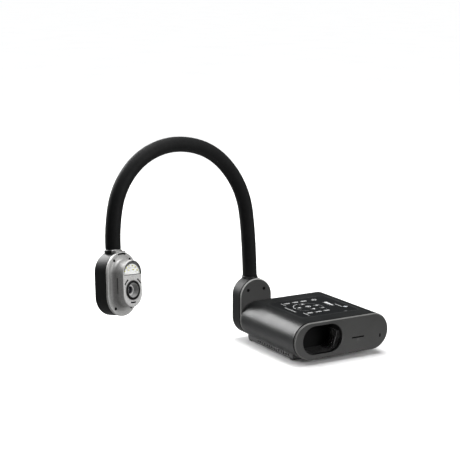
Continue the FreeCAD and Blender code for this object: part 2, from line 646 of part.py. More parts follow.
def neck_link(number):
    """Link from one joint to the next: a hollow dish below and a dome above."""
    dish = Part.makeSphere(BALL_R + BALL_GAP, JOINTS[number - 1])
    dome = Part.makeSphere(BALL_R, JOINTS[number])
    body = neck_tube(number - 1, NECK_PITCH)
    tip = neck_tube(number, BALL_R + 4).common(dome)
    if number == 1:
        below = box((NECK_X - 40, NECK_X + 40), (NECK_Y - 40, NECK_Y + 40), (100, LINK_START_Z))
        spigot = rod(SPIGOT_R, (NECK_X, NECK_Y, CLAMP_Z[0] - 3.3), LINK_START_Z - CLAMP_Z[0] + 6)
        flange = rod(SPIGOT_R + 2.5, (NECK_X, NECK_Y, CLAMP_Z[0] - 3.3), 3.0)
        drill = rod(NECK_BORE, (NECK_X, NECK_Y, CLAMP_Z[0] - 5), LINK_START_Z - CLAMP_Z[0] + 9)
        body = fuse([body.cut(below), spigot, flange]).cut(drill)
    else:
        body = body.cut(dish)
    link = fuse([body, tip])
    if number == len(NECK_ANGLES) - 1:
        stem = in_head(rod(STEM_R, (HEAD_NECK[0], HEAD_NECK[1], 46.5), 14))
        bore = in_head(rod(3.5, (HEAD_NECK[0], HEAD_NECK[1], 40), 25))
        link = fuse([link, stem]).cut(bore)
    return link


# ---- camera head -----------------------------------------------------------------------------
HEAD_ROTATION = Rotation(UP, HEAD_YAW).multiply(
    Rotation(Vector(1, 0, 0), -HEAD_PITCH).multiply(Rotation(Vector(0, 1, 0), -HEAD_ROLL)))
HEAD_ORIGIN = JOINTS[-1] - HEAD_ROTATION.multVec(Vector(*HEAD_NECK))
HEAD_PLACE = Placement(HEAD_ORIGIN, HEAD_ROTATION)


def in_head(shape):
    """Carry a shape from the head's own frame into the model's frame."""
    moved = shape.copy()
    moved.Placement = HEAD_PLACE.multiply(moved.Placement)
    return moved


def head_outline(inset, y):
    return stadium(HEAD_WIDTH - 2 * inset, HEAD_HEIGHT - 2 * inset, 0, 0, y)


def block_outline(inset, y):
    return stadium(BLOCK_WIDTH - 2 * inset, BLOCK_HEIGHT - 2 * inset, 0, BLOCK_Z, y)


def above_lamp_base(shape, inset, y):
    return shape.cut(box((-30, 30), (y[0] - 1, y[1] + 1), (-30, LAMP_BASE_Z + inset)))


def lamp_outline(inset, y):
    """Lamp opening, concentric with the block's round top and flat below."""
    disc = rod(LAMP_OPENING_R - inset, (0, y[0], BLOCK_ARC_Z), y[1] - y[0], (0, 1, 0))
    return above_lamp_base(disc, inset, y)


def lamp_half_disc(radius, inset, y):
    """Half disc centred on the lamp opening's flat base."""
    disc = rod(radius, (0, y[0], LAMP_BASE_Z), y[1] - y[0], (0, 1, 0))
    return above_lamp_base(disc, inset, y)


def arc_slot(centre_z, size, angle, y):
    """Curved slot round a centre; size is its radius, width and spread in degrees."""
    radius, width, spread = size
    ring = rod(radius + width / 2, (0, y[0], centre_z), y[1] - y[0], (0, 1, 0))
    ring = ring.cut(rod(radius - width / 2, (0, y[0] - 1, centre_z), y[1] - y[0] + 2, (0, 1, 0)))
    corners = [Vector(0, y[0] - 1, centre_z)]
    for turn in (math.radians(angle - spread / 2), math.radians(angle + spread / 2)):
        far = 2 * radius
        corners.append(Vector(far * math.cos(turn), y[0] - 1, centre_z + far * math.sin(turn)))
    corners.append(corners[0])
    wedge = Part.Face(Part.makePolygon(corners)).extrude(Vector(0, y[1] - y[0] + 2, 0))
    return ring.common(wedge)


def head_front_cover():
    """Silver plate with the raised block that holds the lamps and the lens."""
    plate = head_outline(0, (0, HEAD_PLATE))
    plate = plate.makeFillet(1.2, edges_at_y(plate, 0))
    block = block_outline(0, (BLOCK_FRONT, 1.5))
    block = block.makeFillet(1.4, edges_at_y(block, BLOCK_FRONT))
    cover = fuse([plate, block])
    root = [e for e in edges_at_y(cover, 0) if abs(e.CenterOfMass.x) < BLOCK_WIDTH / 2 + 0.1
            and e.BoundBox.ZMax < BLOCK_Z + BLOCK_HEIGHT / 2 + 0.1
            and e.BoundBox.XMax < BLOCK_WIDTH / 2 + 0.1]
    cover = cover.makeFillet(BLOCK_ROOT, root)
    inside = block_outline(HEAD_WALL, (BLOCK_FRONT + HEAD_WALL, HEAD_PLATE + 1))
    through = (BLOCK_FRONT - 1, BLOCK_FRONT + HEAD_WALL + 1)
    cutters = [inside, lamp_outline(0, through),
               rod(LENS_RING[1] + 0.1, (0, through[0], LENS_Z), 5, (0, 1, 0))]
    cutters += [arc_slot(LENS_Z, LENS_SLOT, angle, through) for angle in LENS_SLOT_ANGLES]
    for x, z in PLATE_SCREWS:
        cutters.append(rod(SCREW_HEAD_R + 0.1, (x, -1, z), SCREW_SEAT + 1, (0, 1, 0)))
        cutters.append(rod(1.7, (x, 0, z), HEAD_PLATE + 1, (0, 1, 0)))
    cutters.append(arc_slot(HEAD_ARC_Z, TOP_SLOT, 90, (-1, HEAD_PLATE + 1)))
    for side in (-1, 1):
        cutters.append(box((side * BLOCK_WIDTH / 2 - 1.0, side * BLOCK_WIDTH / 2 + 1.0),
                           GROOVE_Y, GROOVE_Z))
    return fuse([cut(cover, cutters), collar_front()])


def head_rear_body():
    """Solid outer form of the housing behind the plate."""
    body = head_outline(HEAD_STEP, (HEAD_PLATE + HEAD_GAP, HEAD_BACK))
    return body.makeFillet(4.5, edges_at_y(body, HEAD_BACK))


def head_rear_housing():
    inside = head_outline(HEAD_STEP + HEAD_WALL, (HEAD_PLATE, HEAD_BACK - HEAD_WALL))
    bosses = [rod(3.6, (x, HEAD_PLATE, z), HEAD_BACK - HEAD_WALL + 0.5 - HEAD_PLATE, (0, 1, 0))
              for x, z in PLATE_SCREWS]
    drills = [rod(1.6, (x, HEAD_PLATE - 1, z), 12, (0, 1, 0)) for x, z in PLATE_SCREWS]
    opening = rod(SLEEVE_R + 0.2, (HEAD_NECK[0], HEAD_NECK[1], 44), 20)
    return cut(fuse([head_rear_body().cut(inside)] + bosses), drills + [opening])


def collar_ring():
    """Saddle ring that stands on the head round the neck's last ball."""
    x, y, _ = HEAD_NECK
    ring = rod(HEAD_COLLAR_R, (x, y, HEAD_COLLAR_LOW), HEAD_COLLAR_TOP - HEAD_COLLAR_LOW)
    rim = [e for e in ring.Edges if e.BoundBox.ZMin > HEAD_COLLAR_TOP - 1e-6]
    ball = Part.makeSphere(BALL_R + BALL_GAP, Vector(*HEAD_NECK))
    return cut(ring.makeChamfer(0.9, rim), [head_rear_body(), ball])


def collar_front():
    """Front part of the ring, joined to the plate by a short bridge."""
    split = box((-20, 20), (0, HEAD_SPLIT), (HEAD_COLLAR_LOW, HEAD_COLLAR_TOP))
    bridge = box((-11, 11), (1.8, 10), (HEAD_COLLAR_LOW, HEAD_COLLAR_TOP - 2.2))
    bridge = cut(bridge, [head_rear_body(), arc_slot(HEAD_ARC_Z, TOP_SLOT, 90, (-1, HEAD_PLATE + 1))])
    front = fuse([collar_ring().common(split), bridge])
    return front.cut(rod(SLEEVE_R + 0.2, (HEAD_NECK[0], HEAD_NECK[1], 40), 30))


def head_collar():
    """Rear part of the ring, with the sleeve that holds the stem of the neck."""
    x, y, _ = HEAD_NECK
    ahead = box((-20, 20), (0, HEAD_SPLIT + 0.15), (HEAD_COLLAR_LOW - 1, HEAD_COLLAR_TOP + 1))
    sleeve = rod(SLEEVE_R, (x, y, 48), 9)
    sleeve = sleeve.cut(Part.makeSphere(BALL_R + BALL_GAP, Vector(*HEAD_NECK)))
    ring = fuse([collar_ring().cut(ahead), sleeve])
    return ring.cut(rod(STEM_R + SPIGOT_FIT, (x, y, 40), 25))


def lamp_window():
    """Clear sheet over the lamps, almost level with the block's face."""
    window = lamp_outline(0.25, (BLOCK_FRONT + 0.1, BLOCK_FRONT + 1.1))
    return window.makeFillet(0.4, edges_at_y(window, BLOCK_FRONT + 0.1))


def lamp_bezel():
    """Dark surround behind the window that leaves a half disc open."""
    flange = lamp_outline(0.25, (BLOCK_FRONT + 1.2, BLOCK_FRONT + 3.4))
    skirt = lamp_outline(1.3, (BLOCK_FRONT + 3.0, LAMP_BOARD_Y[0] - 0.1))
    opening = lamp_half_disc(LAMP_R, 1.0, (BLOCK_FRONT, LAMP_BOARD_Y[0] + 1))
    return fuse([flange, skirt]).cut(opening)


def lamp_board():
    return lamp_half_disc(LAMP_R + 0.3, 0.3, LAMP_BOARD_Y)


def lamp_chips():
    """Lamps on their board: an arc of six and an inner pair."""
    side, height = CHIP
    arc, angles = CHIP_ARC
    places = [(arc * math.cos(math.radians(a)), arc * math.sin(math.radians(a))) for a in angles]
    places += [(-CHIP_PAIR[0], CHIP_PAIR[1]), (CHIP_PAIR[0], CHIP_PAIR[1])]
    y = LAMP_BOARD_Y[0]
    return Part.makeCompound([
        box((px - side / 2, px + side / 2), (y - height, y),
            (LAMP_BASE_Z + pz - side / 2, LAMP_BASE_Z + pz + side / 2)) for px, pz in places])


def lens_ring():
    start = BLOCK_FRONT - 1.2
    ring = rod(LENS_RING[1], (0, start, LENS_Z), 6.5, (0, 1, 0))
    ring = ring.makeFillet(0.7, edges_at_y(ring, start))
    return ring.cut(rod(LENS_RING[0], (0, start - 1, LENS_Z), 9, (0, 1, 0)))


def lens_barrel():
    """Funnel inside the ring that narrows to the aperture."""
    start = BLOCK_FRONT - 0.4
    axis = Vector(0, 1, 0)
    body = rod(LENS_RING[0] - 0.05, (0, start, LENS_Z), LENS_DEPTH + 6, (0, 1, 0))
    funnel = Part.makeCone(LENS_RING[0] - 0.6, LENS_STEP_R, LENS_DEPTH - 0.8,
                           Vector(0, start, LENS_Z), axis)
    step = rod(LENS_STEP_R, (0, start, LENS_Z), LENS_DEPTH, (0, 1, 0))
    bore = rod(APERTURE_R, (0, start, LENS_Z), LENS_DEPTH + 10, (0, 1, 0))
    return cut(body, [funnel, step, bore])


def lens_glass():
    """Front element, domed towards the outside."""
    radius, dome, edge = APERTURE_R - 0.05, 11.0, 1.45
    back = BLOCK_FRONT + LENS_DEPTH + 4.0
    centre = back - edge + math.sqrt(dome ** 2 - radius ** 2)

    def on_dome(across):
        return Vector(across, centre - math.sqrt(dome ** 2 - across ** 2), LENS_Z)

    front = Part.Arc(on_dome(0), on_dome(radius / 2), on_dome(radius)).toShape()
    rim, middle = Vector(radius, back, LENS_Z), Vector(0, back, LENS_Z)
    profile = Part.Wire([front, Part.makeLine(on_dome(radius), rim), Part.makeLine(rim, middle),
                         Part.makeLine(middle, on_dome(0))])
    return Part.Face(profile).revolve(Vector(0, 0, LENS_Z), Vector(0, 1, 0), 360)


def camera_module():
    """Lens barrel end, sensor can and its small board."""
    start = BLOCK_FRONT - 0.4 + LENS_DEPTH + 6
    can = box((-13, 13), (start, start + 9), (LENS_Z - 13, LENS_Z + 13))
    board = box((-16, 16), (start + 9, start + 10.6), (LENS_Z - 16, LENS_Z + 18))
    return fuse([can, board])


def head_screws():
    screws = []
    for x, z in PLATE_SCREWS:
        head = rod(SCREW_HEAD_R, (x, SCREW_SEAT - 1.8, z), 1.8, (0, 1, 0))
        socket = rod(1.1, (x, SCREW_SEAT - 2, z), 1.4, (0, 1, 0))
        screws.append(fuse([head.cut(socket), rod(1.5, (x, SCREW_SEAT, z), 10, (0, 1, 0))]))
    return Part.makeCompound(screws)


def sensor_window():
    """Dark strip in the slot at the top of the plate."""
    radius, width, spread = TOP_SLOT
    return arc_slot(HEAD_ARC_Z, (radius, width - 0.2, spread - 0.5), 90, (0.8, HEAD_PLATE))


# ---- write every node -------------------------------------------------------------------------
def main():
    os.makedirs("parts", exist_ok=True)
    base = [base_shell, control_panel_overlay, front_end_plate, dock_liner, rear_end_plate,
            bottom_cover, rubber_feet, base_screws, ballast_plate, main_board, board_fixings,
            heat_sink, sd_card_socket, rear_sockets, keypad_board, dome_switches, status_led,
            zoom_rocker, knuckle_front_cover, knuckle_housing, knuckle_screws, neck_clamp,
            lower_collar, base_harness]
    head = [head_front_cover, head_rear_housing, head_collar, lamp_window, lamp_bezel, lamp_board,
            lamp_chips, lens_ring, lens_barrel, lens_glass, camera_module, head_screws, sensor_window]
    for make in base:
        save(make.__name__, make())
    for name, size in KEYS.items():
        save(name, key_cap(*size))
    for number in range(1, len(JOINTS)):
        save("neck_link_%02d" % number, neck_link(number))
    for make in head:
        save(make.__name__, in_head(make()))
    for number, point in enumerate(JOINTS):
        print("joint %d at %.3f %.3f %.3f" % (number, point.x, point.y, point.z))
    axis = HEAD_ROTATION.multVec(UP)
    print("head axis %.5f %.5f %.5f" % (axis.x, axis.y, axis.z))
    print("bend axis %.5f %.5f" % (BEND_AXIS.x, BEND_AXIS.y))


main()
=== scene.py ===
import json
import math

import bmesh
import bpy
from mathutils import Matrix, Vector


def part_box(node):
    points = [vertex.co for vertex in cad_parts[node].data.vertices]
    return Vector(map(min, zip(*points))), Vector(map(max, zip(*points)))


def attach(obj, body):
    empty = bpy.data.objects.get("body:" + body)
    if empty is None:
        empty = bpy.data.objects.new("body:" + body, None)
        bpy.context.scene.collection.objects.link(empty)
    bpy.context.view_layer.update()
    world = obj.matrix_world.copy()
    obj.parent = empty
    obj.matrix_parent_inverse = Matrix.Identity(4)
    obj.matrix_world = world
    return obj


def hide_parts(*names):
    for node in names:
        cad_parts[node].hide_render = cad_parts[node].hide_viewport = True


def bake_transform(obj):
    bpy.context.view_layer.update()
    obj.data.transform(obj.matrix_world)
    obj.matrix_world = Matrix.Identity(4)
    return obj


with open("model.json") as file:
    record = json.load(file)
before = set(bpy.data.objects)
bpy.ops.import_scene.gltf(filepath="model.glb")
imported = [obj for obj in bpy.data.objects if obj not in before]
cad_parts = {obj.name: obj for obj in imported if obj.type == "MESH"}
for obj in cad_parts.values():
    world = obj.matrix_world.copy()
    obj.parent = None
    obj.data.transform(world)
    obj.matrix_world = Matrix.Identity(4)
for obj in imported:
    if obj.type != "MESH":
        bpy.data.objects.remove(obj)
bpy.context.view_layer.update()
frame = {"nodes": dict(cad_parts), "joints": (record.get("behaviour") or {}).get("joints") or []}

MM = 0.001
BEVEL = 1.8 * MM                       # depth of the bevel round the grey end plates
JOINTS = {joint["name"]: joint for joint in frame["joints"]}

# ---- camera head frame: the CAD's own head angles, hung from the head's twist joint ----
HEAD_YAW, HEAD_PITCH, HEAD_ROLL = 19.2, -7.1, 5.45
HEAD_NECK = Vector((0.0, 20.4, 68.1)) * MM
LENS_Z = -9.5 * MM
LENS_SLOT_ANGLES = (44, 136, 269)
HEAD_ARC_Z = 19.8 * MM                 # centre of the plate's round top
STEP_COUNT = 6
FRONT_Y = -92.5 * MM
CARD_SLOT = Vector((34.0, 0.0, 37.65)) * MM
LOCK_SLOT = Vector((82.2, 0.0, 34.3)) * MM
FLAT_SOCKETS = ((3.5, 13.2), (19.5, 15.0), (37.5, 15.0))
TONGUE_Z = 38.1 * MM
SCREEN_SOCKET = Vector((61.0, 84.0, 40.75)) * MM
BLOCK_FRONT = -24.2 * MM
LAMP_BASE_Z = 16.1 * MM
LAMP_RADIUS = 18.6 * MM                # half disc of the lamp's opening, centred on its base
CHIP_FRONT = BLOCK_FRONT + 3.6 * MM
CHIP_PLACES = [(16.0 * math.cos(math.radians(a)), 16.0 * math.sin(math.radians(a)))
               for a in (26, 50, 74, 106, 130, 154)] + [(-5.5, 8.4), (5.5, 8.4)]


def head_matrix():
    """Places the head's own frame, x across, y back, z up, in the row frame."""
    turn = (Matrix.Rotation(math.radians(HEAD_YAW), 4, "Z")
            @ Matrix.Rotation(math.radians(HEAD_PITCH), 4, "X")
            @ Matrix.Rotation(math.radians(HEAD_ROLL), 4, "Y"))
    joint = Vector(JOINTS["head_twist"]["pos_m"])
    return Matrix.Translation(joint - turn @ HEAD_NECK) @ turn


HEAD = head_matrix()


# ---- camera, light and floor -------------------------------------------------------------
CAMERA_AT = Vector((-1.32847, -1.9869, 0.6945))
CAMERA_HEADING = 30.11
CAMERA_DOWN = 11.264
CAMERA_LENS = 105.65


def make_camera():
    data = bpy.data.cameras.new("camera")
    data.sensor_width = 36.0
    data.lens = CAMERA_LENS
    data.clip_end = 400.0
    camera = bpy.data.objects.new("camera", data)
    bpy.context.scene.collection.objects.link(camera)
    camera.location = CAMERA_AT
    camera.rotation_euler = (math.radians(90 - CAMERA_DOWN), 0, math.radians(-CAMERA_HEADING))
    bpy.context.scene.camera = camera


def aim(obj, target):
    obj.rotation_euler = (Vector(target) - obj.location).to_track_quat("-Z", "Y").to_euler()


def area_light(name, place, target, size, power, spread=180):
    data = bpy.data.lights.new(name, "AREA")
    data.shape = "RECTANGLE"
    data.size, data.size_y = size
    data.energy = power
    data.spread = math.radians(spread)
    light = bpy.data.objects.new(name, data)
    light.location = place
    aim(light, target)
    bpy.context.scene.collection.objects.link(light)


def sun_light(name, direction, strength, spread):
    data = bpy.data.lights.new(name, "SUN")
    data.energy = strength
    data.angle = math.radians(spread)
    light = bpy.data.objects.new(name, data)
    light.location = Vector(direction) * 3
    aim(light, (0, 0, 0))
    bpy.context.scene.collection.objects.link(light)


def make_world():
    """Pale to look at, dim as a light, so that dark plastics keep their depth."""
    world = bpy.data.worlds.new("studio")
    world.use_nodes = True
    nodes, links = world.node_tree.nodes, world.node_tree.links
    nodes.clear()
    out = nodes.new("ShaderNodeOutputWorld")
    path = nodes.new("ShaderNodeLightPath")
    mix = nodes.new("ShaderNodeMixShader")
    seen = nodes.new("ShaderNodeBackground")
    room = nodes.new("ShaderNodeBackground")
    seen.inputs["Color"].default_value = (1.0, 1.0, 1.0, 1)
    room.inputs["Color"].default_value = (0.9, 0.95, 1.0, 1)
    room.inputs["Strength"].default_value = 0.05
    links.new(path.outputs["Is Camera Ray"], mix.inputs[0])
    links.new(room.outputs[0], mix.inputs[1])
    links.new(seen.outputs[0], mix.inputs[2])
    links.new(mix.outputs[0], out.inputs[0])
    bpy.context.scene.world = world


FLOOR_HALF = 150.0
PAPER_NEAR, PAPER_FAR = 0.13, 0.27     # the floor's bounce light falls off between these distances


def make_stage():
    """Overhead light, a softbox behind and before, and a low strip that grazes the slab's left side."""
    bpy.context.scene.view_settings.view_transform = "Standard"
    make_world()
    sun_light("overhead_dome", (0.10, 0.10, 1.0), 3.3, 40)
    area_light("back_softbox", (-0.68, 1.6, 0.92), (-0.1, 0.0, 0.08), (1.3, 1.3), 52)
    area_light("front_softbox", (1.1, -2.2, 1.0), (-0.15, 0.0, 0.12), (1.3, 1.3), 41)
    area_light("low_strip", (-1.25, -0.45, 0.06), (-0.08, 0.02, 0.012), (0.4, 0.06), 0.15, 12)
    corners = [(x * FLOOR_HALF, y * FLOOR_HALF, 0) for x, y in ((-1, -1), (1, -1), (1, 1), (-1, 1))]
    data = bpy.data.meshes.new("floor")
    data.from_pydata(corners, [], [(0, 1, 2, 3)])
    floor = bpy.data.objects.new("floor", data)
    bpy.context.scene.collection.objects.link(floor)
    floor.data.materials.append(floor_material())


# ---- shader helpers ------------------------------------------------------------------------
class Graph:
    """A material's node tree, with short calls for the nodes used here."""

    def __init__(self, name):
        self.material = bpy.data.materials.new(name)
        self.material.use_nodes = True
        self.nodes = self.material.node_tree.nodes
        self.links = self.material.node_tree.links
        self.shader = self.nodes["Principled BSDF"]
        self.place = self.nodes.new("ShaderNodeTexCoord").outputs["Object"]

    def set(self, **values):
        """Constant values, straight on the shader's own sockets."""
        for key, value in values.items():
            self.shader.inputs[key.replace("_", " ")].default_value = value

    def noise(self, per_metre, detail=3.0, rough=0.55, stretch=None):
        node = self.nodes.new("ShaderNodeTexNoise")
        node.inputs["Scale"].default_value = per_metre
        node.inputs["Detail"].default_value = detail
        node.inputs["Roughness"].default_value = rough
        self.links.new(self.stretched(stretch), node.inputs["Vector"])
        return node.outputs["Fac"]

    def stretched(self, factors):
        if factors is None:
            return self.place
        node = self.nodes.new("ShaderNodeMapping")
        node.inputs["Scale"].default_value = factors
        self.links.new(self.place, node.inputs["Vector"])
        return node.outputs["Vector"]

    def cells(self, per_metre, output="Color", feature="F1"):
        node = self.nodes.new("ShaderNodeTexVoronoi")
        node.feature = feature
        node.inputs["Scale"].default_value = per_metre
        self.links.new(self.place, node.inputs["Vector"])
        return node.outputs[output]

    def ramp(self, value, low, high, start, end):
        """Maps value from low..high to start..end, clamped."""
        node = self.nodes.new("ShaderNodeMapRange")
        for socket, number in zip(("From Min", "From Max", "To Min", "To Max"), (low, high, start, end)):
            node.inputs[socket].default_value = number
        self.links.new(value, node.inputs["Value"])
        return node.outputs["Result"]

    def math(self, operation, first, second):
        node = self.nodes.new("ShaderNodeMath")
        node.operation = operation
        for socket, value in zip(node.inputs, (first, second)):
            if isinstance(value, (int, float)):
                socket.default_value = value
            else:
                self.links.new(value, socket)
        return node.outputs[0]

    def mix(self, share, first, second):
        node = self.nodes.new("ShaderNodeMix")
        node.data_type = "RGBA"
        self.links.new(share, node.inputs[0])
        for socket, value in ((node.inputs[6], first), (node.inputs[7], second)):
            if isinstance(value, tuple):
                socket.default_value = (*value, 1)
            else:
                self.links.new(value, socket)
        return node.outputs[2]

    def edge(self, radius, low=0.02, high=0.25):
        """1 on sharp outer or inner edges, 0 on open faces."""
        bevel = self.nodes.new("ShaderNodeBevel")
        bevel.samples = 4
        bevel.inputs["Radius"].default_value = radius
        geometry = self.nodes.new("ShaderNodeNewGeometry")
        dot = self.nodes.new("ShaderNodeVectorMath")
        dot.operation = "DOT_PRODUCT"
        self.links.new(bevel.outputs["Normal"], dot.inputs[0])
        self.links.new(geometry.outputs["Normal"], dot.inputs[1])
        gap = self.math("SUBTRACT", 1.0, dot.outputs["Value"])
        return self.ramp(gap, low, high, 0.0, 1.0)

    def crevice_shade(self, reach, deep=0.12, clear=0.55):
        """Mask for painted shade: 1 deep inside narrow slots and holes, 0 in the open."""
        node = self.nodes.new("ShaderNodeAmbientOcclusion")
        node.samples = 8
        node.inputs["Distance"].default_value = reach
        return self.ramp(node.outputs["AO"], deep, clear, 1.0, 0.0)

    def bump(self, height, distance, strength=1.0):
        node = self.nodes.new("ShaderNodeBump")
        node.inputs["Strength"].default_value = strength
        node.inputs["Distance"].default_value = distance
        self.links.new(height, node.inputs["Height"])
        self.links.new(node.outputs["Normal"], self.shader.inputs["Normal"])

    def color(self, value):
        self.links.new(value, self.shader.inputs["Base Color"])

    def roughness(self, value):
        self.links.new(value, self.shader.inputs["Roughness"])


def moulded_plastic(name, dark, light, gloss, grain=1800.0, depth=0.00002, wear_and_highlight_strength=0.25, specular=0.35,
                    edge=None, reach=0.0007, crevice_shade=None, deep=0.12, clear=0.55):
    """Moulded plastic with spark-eroded grain, faint flow marks, pale edges that are partly rubbed and partly
    painted highlight, and, if asked, painted shade in crevices.
    """
    g = Graph(name)
    # Pale edge tone: by default a rubbed-plastic tone; the brighter tones passed in paint a highlight along
    # the edges.
    edge = edge or tuple(min(1, 3.0 * c + 0.03) for c in light)
    g.set(Specular_IOR_Level=specular)
    flow = g.noise(14.0, 4.0, 0.6)
    fine = g.noise(grain, 2.0, 0.6)
    body = g.mix(g.ramp(flow, 0.35, 0.65, 0.0, 1.0), dark, light)
    speck = g.mix(g.ramp(fine, 0.58, 0.75, 0.0, 0.35), body, tuple(min(1, 1.9 * c + 0.004) for c in light))
    # Edge paint: partly rubbed wear, partly painted highlight.
    edge_wear_and_highlight = g.math("MULTIPLY", g.edge(reach, 0.01, 0.09), g.ramp(g.noise(90.0), 0.35, 0.7, 0.3 * wear_and_highlight_strength, wear_and_highlight_strength))
    body = g.mix(edge_wear_and_highlight, speck, edge)
    # Painted shade: near black deep in crevices, slots and seams.
    if crevice_shade:
        body = g.mix(g.crevice_shade(crevice_shade, deep, clear), body, (0.001, 0.001, 0.001))
    g.color(body)
    smudge = g.ramp(g.noise(28.0, 5.0, 0.65), 0.3, 0.7, -0.05, 0.05)
    g.roughness(g.math("ADD", g.ramp(fine, 0.3, 0.7, gloss - 0.04, gloss + 0.04), smudge))
    g.bump(fine, depth)
    return g.material


def floor_material():
    """Pale paper; its bounce light is held back so that dark undersides stay dark."""
    g = Graph("floor_paper")
    g.set(Roughness=0.9, Specular_IOR_Level=0.05)
    paper = g.mix(g.ramp(g.noise(3.0, 2.0), 0.3, 0.7, 0.0, 1.0), (0.93, 0.93, 0.93), (0.95, 0.95, 0.95))
    path = g.nodes.new("ShaderNodeLightPath")
    away = g.nodes.new("ShaderNodeVectorMath")
    away.operation = "LENGTH"
    g.links.new(g.place, away.inputs[0])
    far = g.ramp(away.outputs["Value"], PAPER_NEAR, PAPER_FAR, 0.0, 1.0)
    bounce = g.mix(far, (0.48, 0.48, 0.48), (0.13, 0.13, 0.13))
    g.color(g.mix(path.outputs["Is Camera Ray"], bounce, paper))
    return g.material


def shell_plastic():
    # Painted shade darkens the shell's seams and slots.
    return moulded_plastic("shell_plastic", (0.0062, 0.0069, 0.0069), (0.0088, 0.0095, 0.0095), 0.38,
                           crevice_shade=0.003)


def plate_plastic(node, bevel_highlight_tone, highlight_low_z, highlight_high_z):
    """Grey plate with half-round ends: painted highlight along its bevel, stronger towards the top, and
    painted shade that makes its side behind the bevel nearly black.
    """
    low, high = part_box(node)
    half = (high - low) / 2
    middle = (low + high) / 2
    radius = min(half.x, half.z)
    g = Graph(node + "_plastic")
    split = g.nodes.new("ShaderNodeSeparateXYZ")
    g.links.new(g.place, split.inputs[0])
    reach = []
    for axis, centre, core in (("X", middle.x, half.x - radius), ("Z", middle.z, half.z - radius)):
        away = g.math("ABSOLUTE", g.math("SUBTRACT", split.outputs[axis], centre), 0.0)
        beyond = g.math("MAXIMUM", g.math("SUBTRACT", away, core), 0.0)
        reach.append(g.math("MULTIPLY", beyond, beyond))
    out = g.math("SQRT", g.math("ADD", *reach), 0.0)
    bevel = g.ramp(out, radius - BEVEL - 0.2 * MM, radius - BEVEL + 0.1 * MM, 0.0, 1.0)
    side = g.ramp(split.outputs["Y"], low.y + BEVEL, low.y + BEVEL + 0.1 * MM, 0.0, 1.0)
    fine = g.noise(1500.0, 2.0, 0.6)
    face = g.mix(g.ramp(g.noise(14.0, 4.0, 0.6), 0.35, 0.65, 0.0, 1.0),
                 (0.040, 0.040, 0.039), (0.047, 0.047, 0.046))
    speck = g.mix(g.ramp(fine, 0.58, 0.75, 0.0, 0.35), face, (0.085, 0.085, 0.083))
    # Painted highlight on the bevel, fading out towards the bottom.
    ink_wear_and_bevel_highlight = g.math("MULTIPLY", bevel, g.ramp(split.outputs["Z"], highlight_low_z, highlight_high_z, 0.2, 1.0))
    ink_wear_and_bevel_highlight = g.math("MULTIPLY", ink_wear_and_bevel_highlight, g.ramp(g.noise(60.0), 0.3, 0.7, 0.75, 1.0))
    # Painted shade: the side behind the bevel is nearly black, and its specular is turned down.
    edged = g.mix(side, g.mix(ink_wear_and_bevel_highlight, speck, bevel_highlight_tone), (0.004, 0.004, 0.004))
    # Painted shade: near black in crevices and slots.
    g.color(g.mix(g.crevice_shade(0.004), edged, (0.001, 0.001, 0.001)))
    g.links.new(g.ramp(side, 0.0, 1.0, 0.35, 0.08), g.shader.inputs["Specular IOR Level"])
    g.roughness(g.math("ADD", g.ramp(fine, 0.3, 0.7, 0.46, 0.54),
                       g.ramp(g.noise(28.0, 5.0), 0.3, 0.7, -0.05, 0.05)))
    g.bump(fine, 0.00003)
    return g.material


def front_plate_plastic():
    return plate_plastic("front_end_plate", (0.17, 0.17, 0.165), 50 * MM, 72 * MM)


def cover_plate_plastic():
    return plate_plastic("knuckle_front_cover", (0.45, 0.45, 0.44), 84 * MM, 102 * MM)


def end_plate_plastic():
    # Pale edge tone as a painted highlight on the bevels; painted shade in seams and slots.
    return moulded_plastic("end_plate_plastic", (0.040, 0.040, 0.039), (0.047, 0.047, 0.046), 0.50,
                           grain=1500.0, depth=0.00003, wear_and_highlight_strength=0.6, edge=(0.20, 0.20, 0.20), crevice_shade=0.003)


def housing_plastic():
    """The shell's plastic with a coarser, duller grain, a little darker in colour as painted shade, and
    painted shade in its seams.
    """
    return moulded_plastic("housing_plastic", (0.0055, 0.0060, 0.0060), (0.0078, 0.0084, 0.0084), 0.46,
                           grain=1300.0, depth=0.00003, specular=0.14, crevice_shade=0.003)


def rear_head_plastic():
    # Shell plastic made darker as painted shade for the head's rear housing, with painted shade in its seams.
    return moulded_plastic("rear_head_plastic", (0.0030, 0.0033, 0.0033), (0.0045, 0.0049, 0.0049), 0.38,
                           specular=0.28, crevice_shade=0.003)


def plinth_plastic():
    # Pale edge tone paints a highlight on the vent ribs; painted shade makes the slots between them dark.
    return moulded_plastic("plinth_plastic", (0.050, 0.050, 0.050), (0.065, 0.065, 0.065), 0.55,
                           grain=1300.0, depth=0.00004, wear_and_highlight_strength=1.0, edge=(0.45, 0.45, 0.45), crevice_shade=0.004,
                           deep=0.55, clear=0.92)


def liner_plastic():
    # Pale edge tone, spread wide, paints a highlight on the rib tops in the dock.
    return moulded_plastic("liner_plastic", (0.0015, 0.0015, 0.0015), (0.0025, 0.0025, 0.0025), 0.6, wear_and_highlight_strength=2.2,
                           edge=(0.10, 0.10, 0.10), specular=0.15)


def key_plastic():
    return moulded_plastic("key_plastic", (0.009, 0.010, 0.010), (0.013, 0.014, 0.014), 0.42,
                           grain=2400.0, depth=0.000015)


def collar_plastic():
    # Pale edge tone paints a highlight on the collar's rims.
    return moulded_plastic("collar_plastic", (0.008, 0.008, 0.008), (0.011, 0.011, 0.011), 0.30, wear_and_highlight_strength=1.0,
                           edge=(0.30, 0.30, 0.30))


def clamp_plastic():
    return moulded_plastic("clamp_plastic", (0.05, 0.05, 0.05), (0.07, 0.07, 0.07), 0.6)


def lens_plastic():
    return moulded_plastic("lens_plastic", (0.004, 0.004, 0.004), (0.006, 0.006, 0.006), 0.28,
                           grain=2600.0, depth=0.00001, wear_and_highlight_strength=0.1)


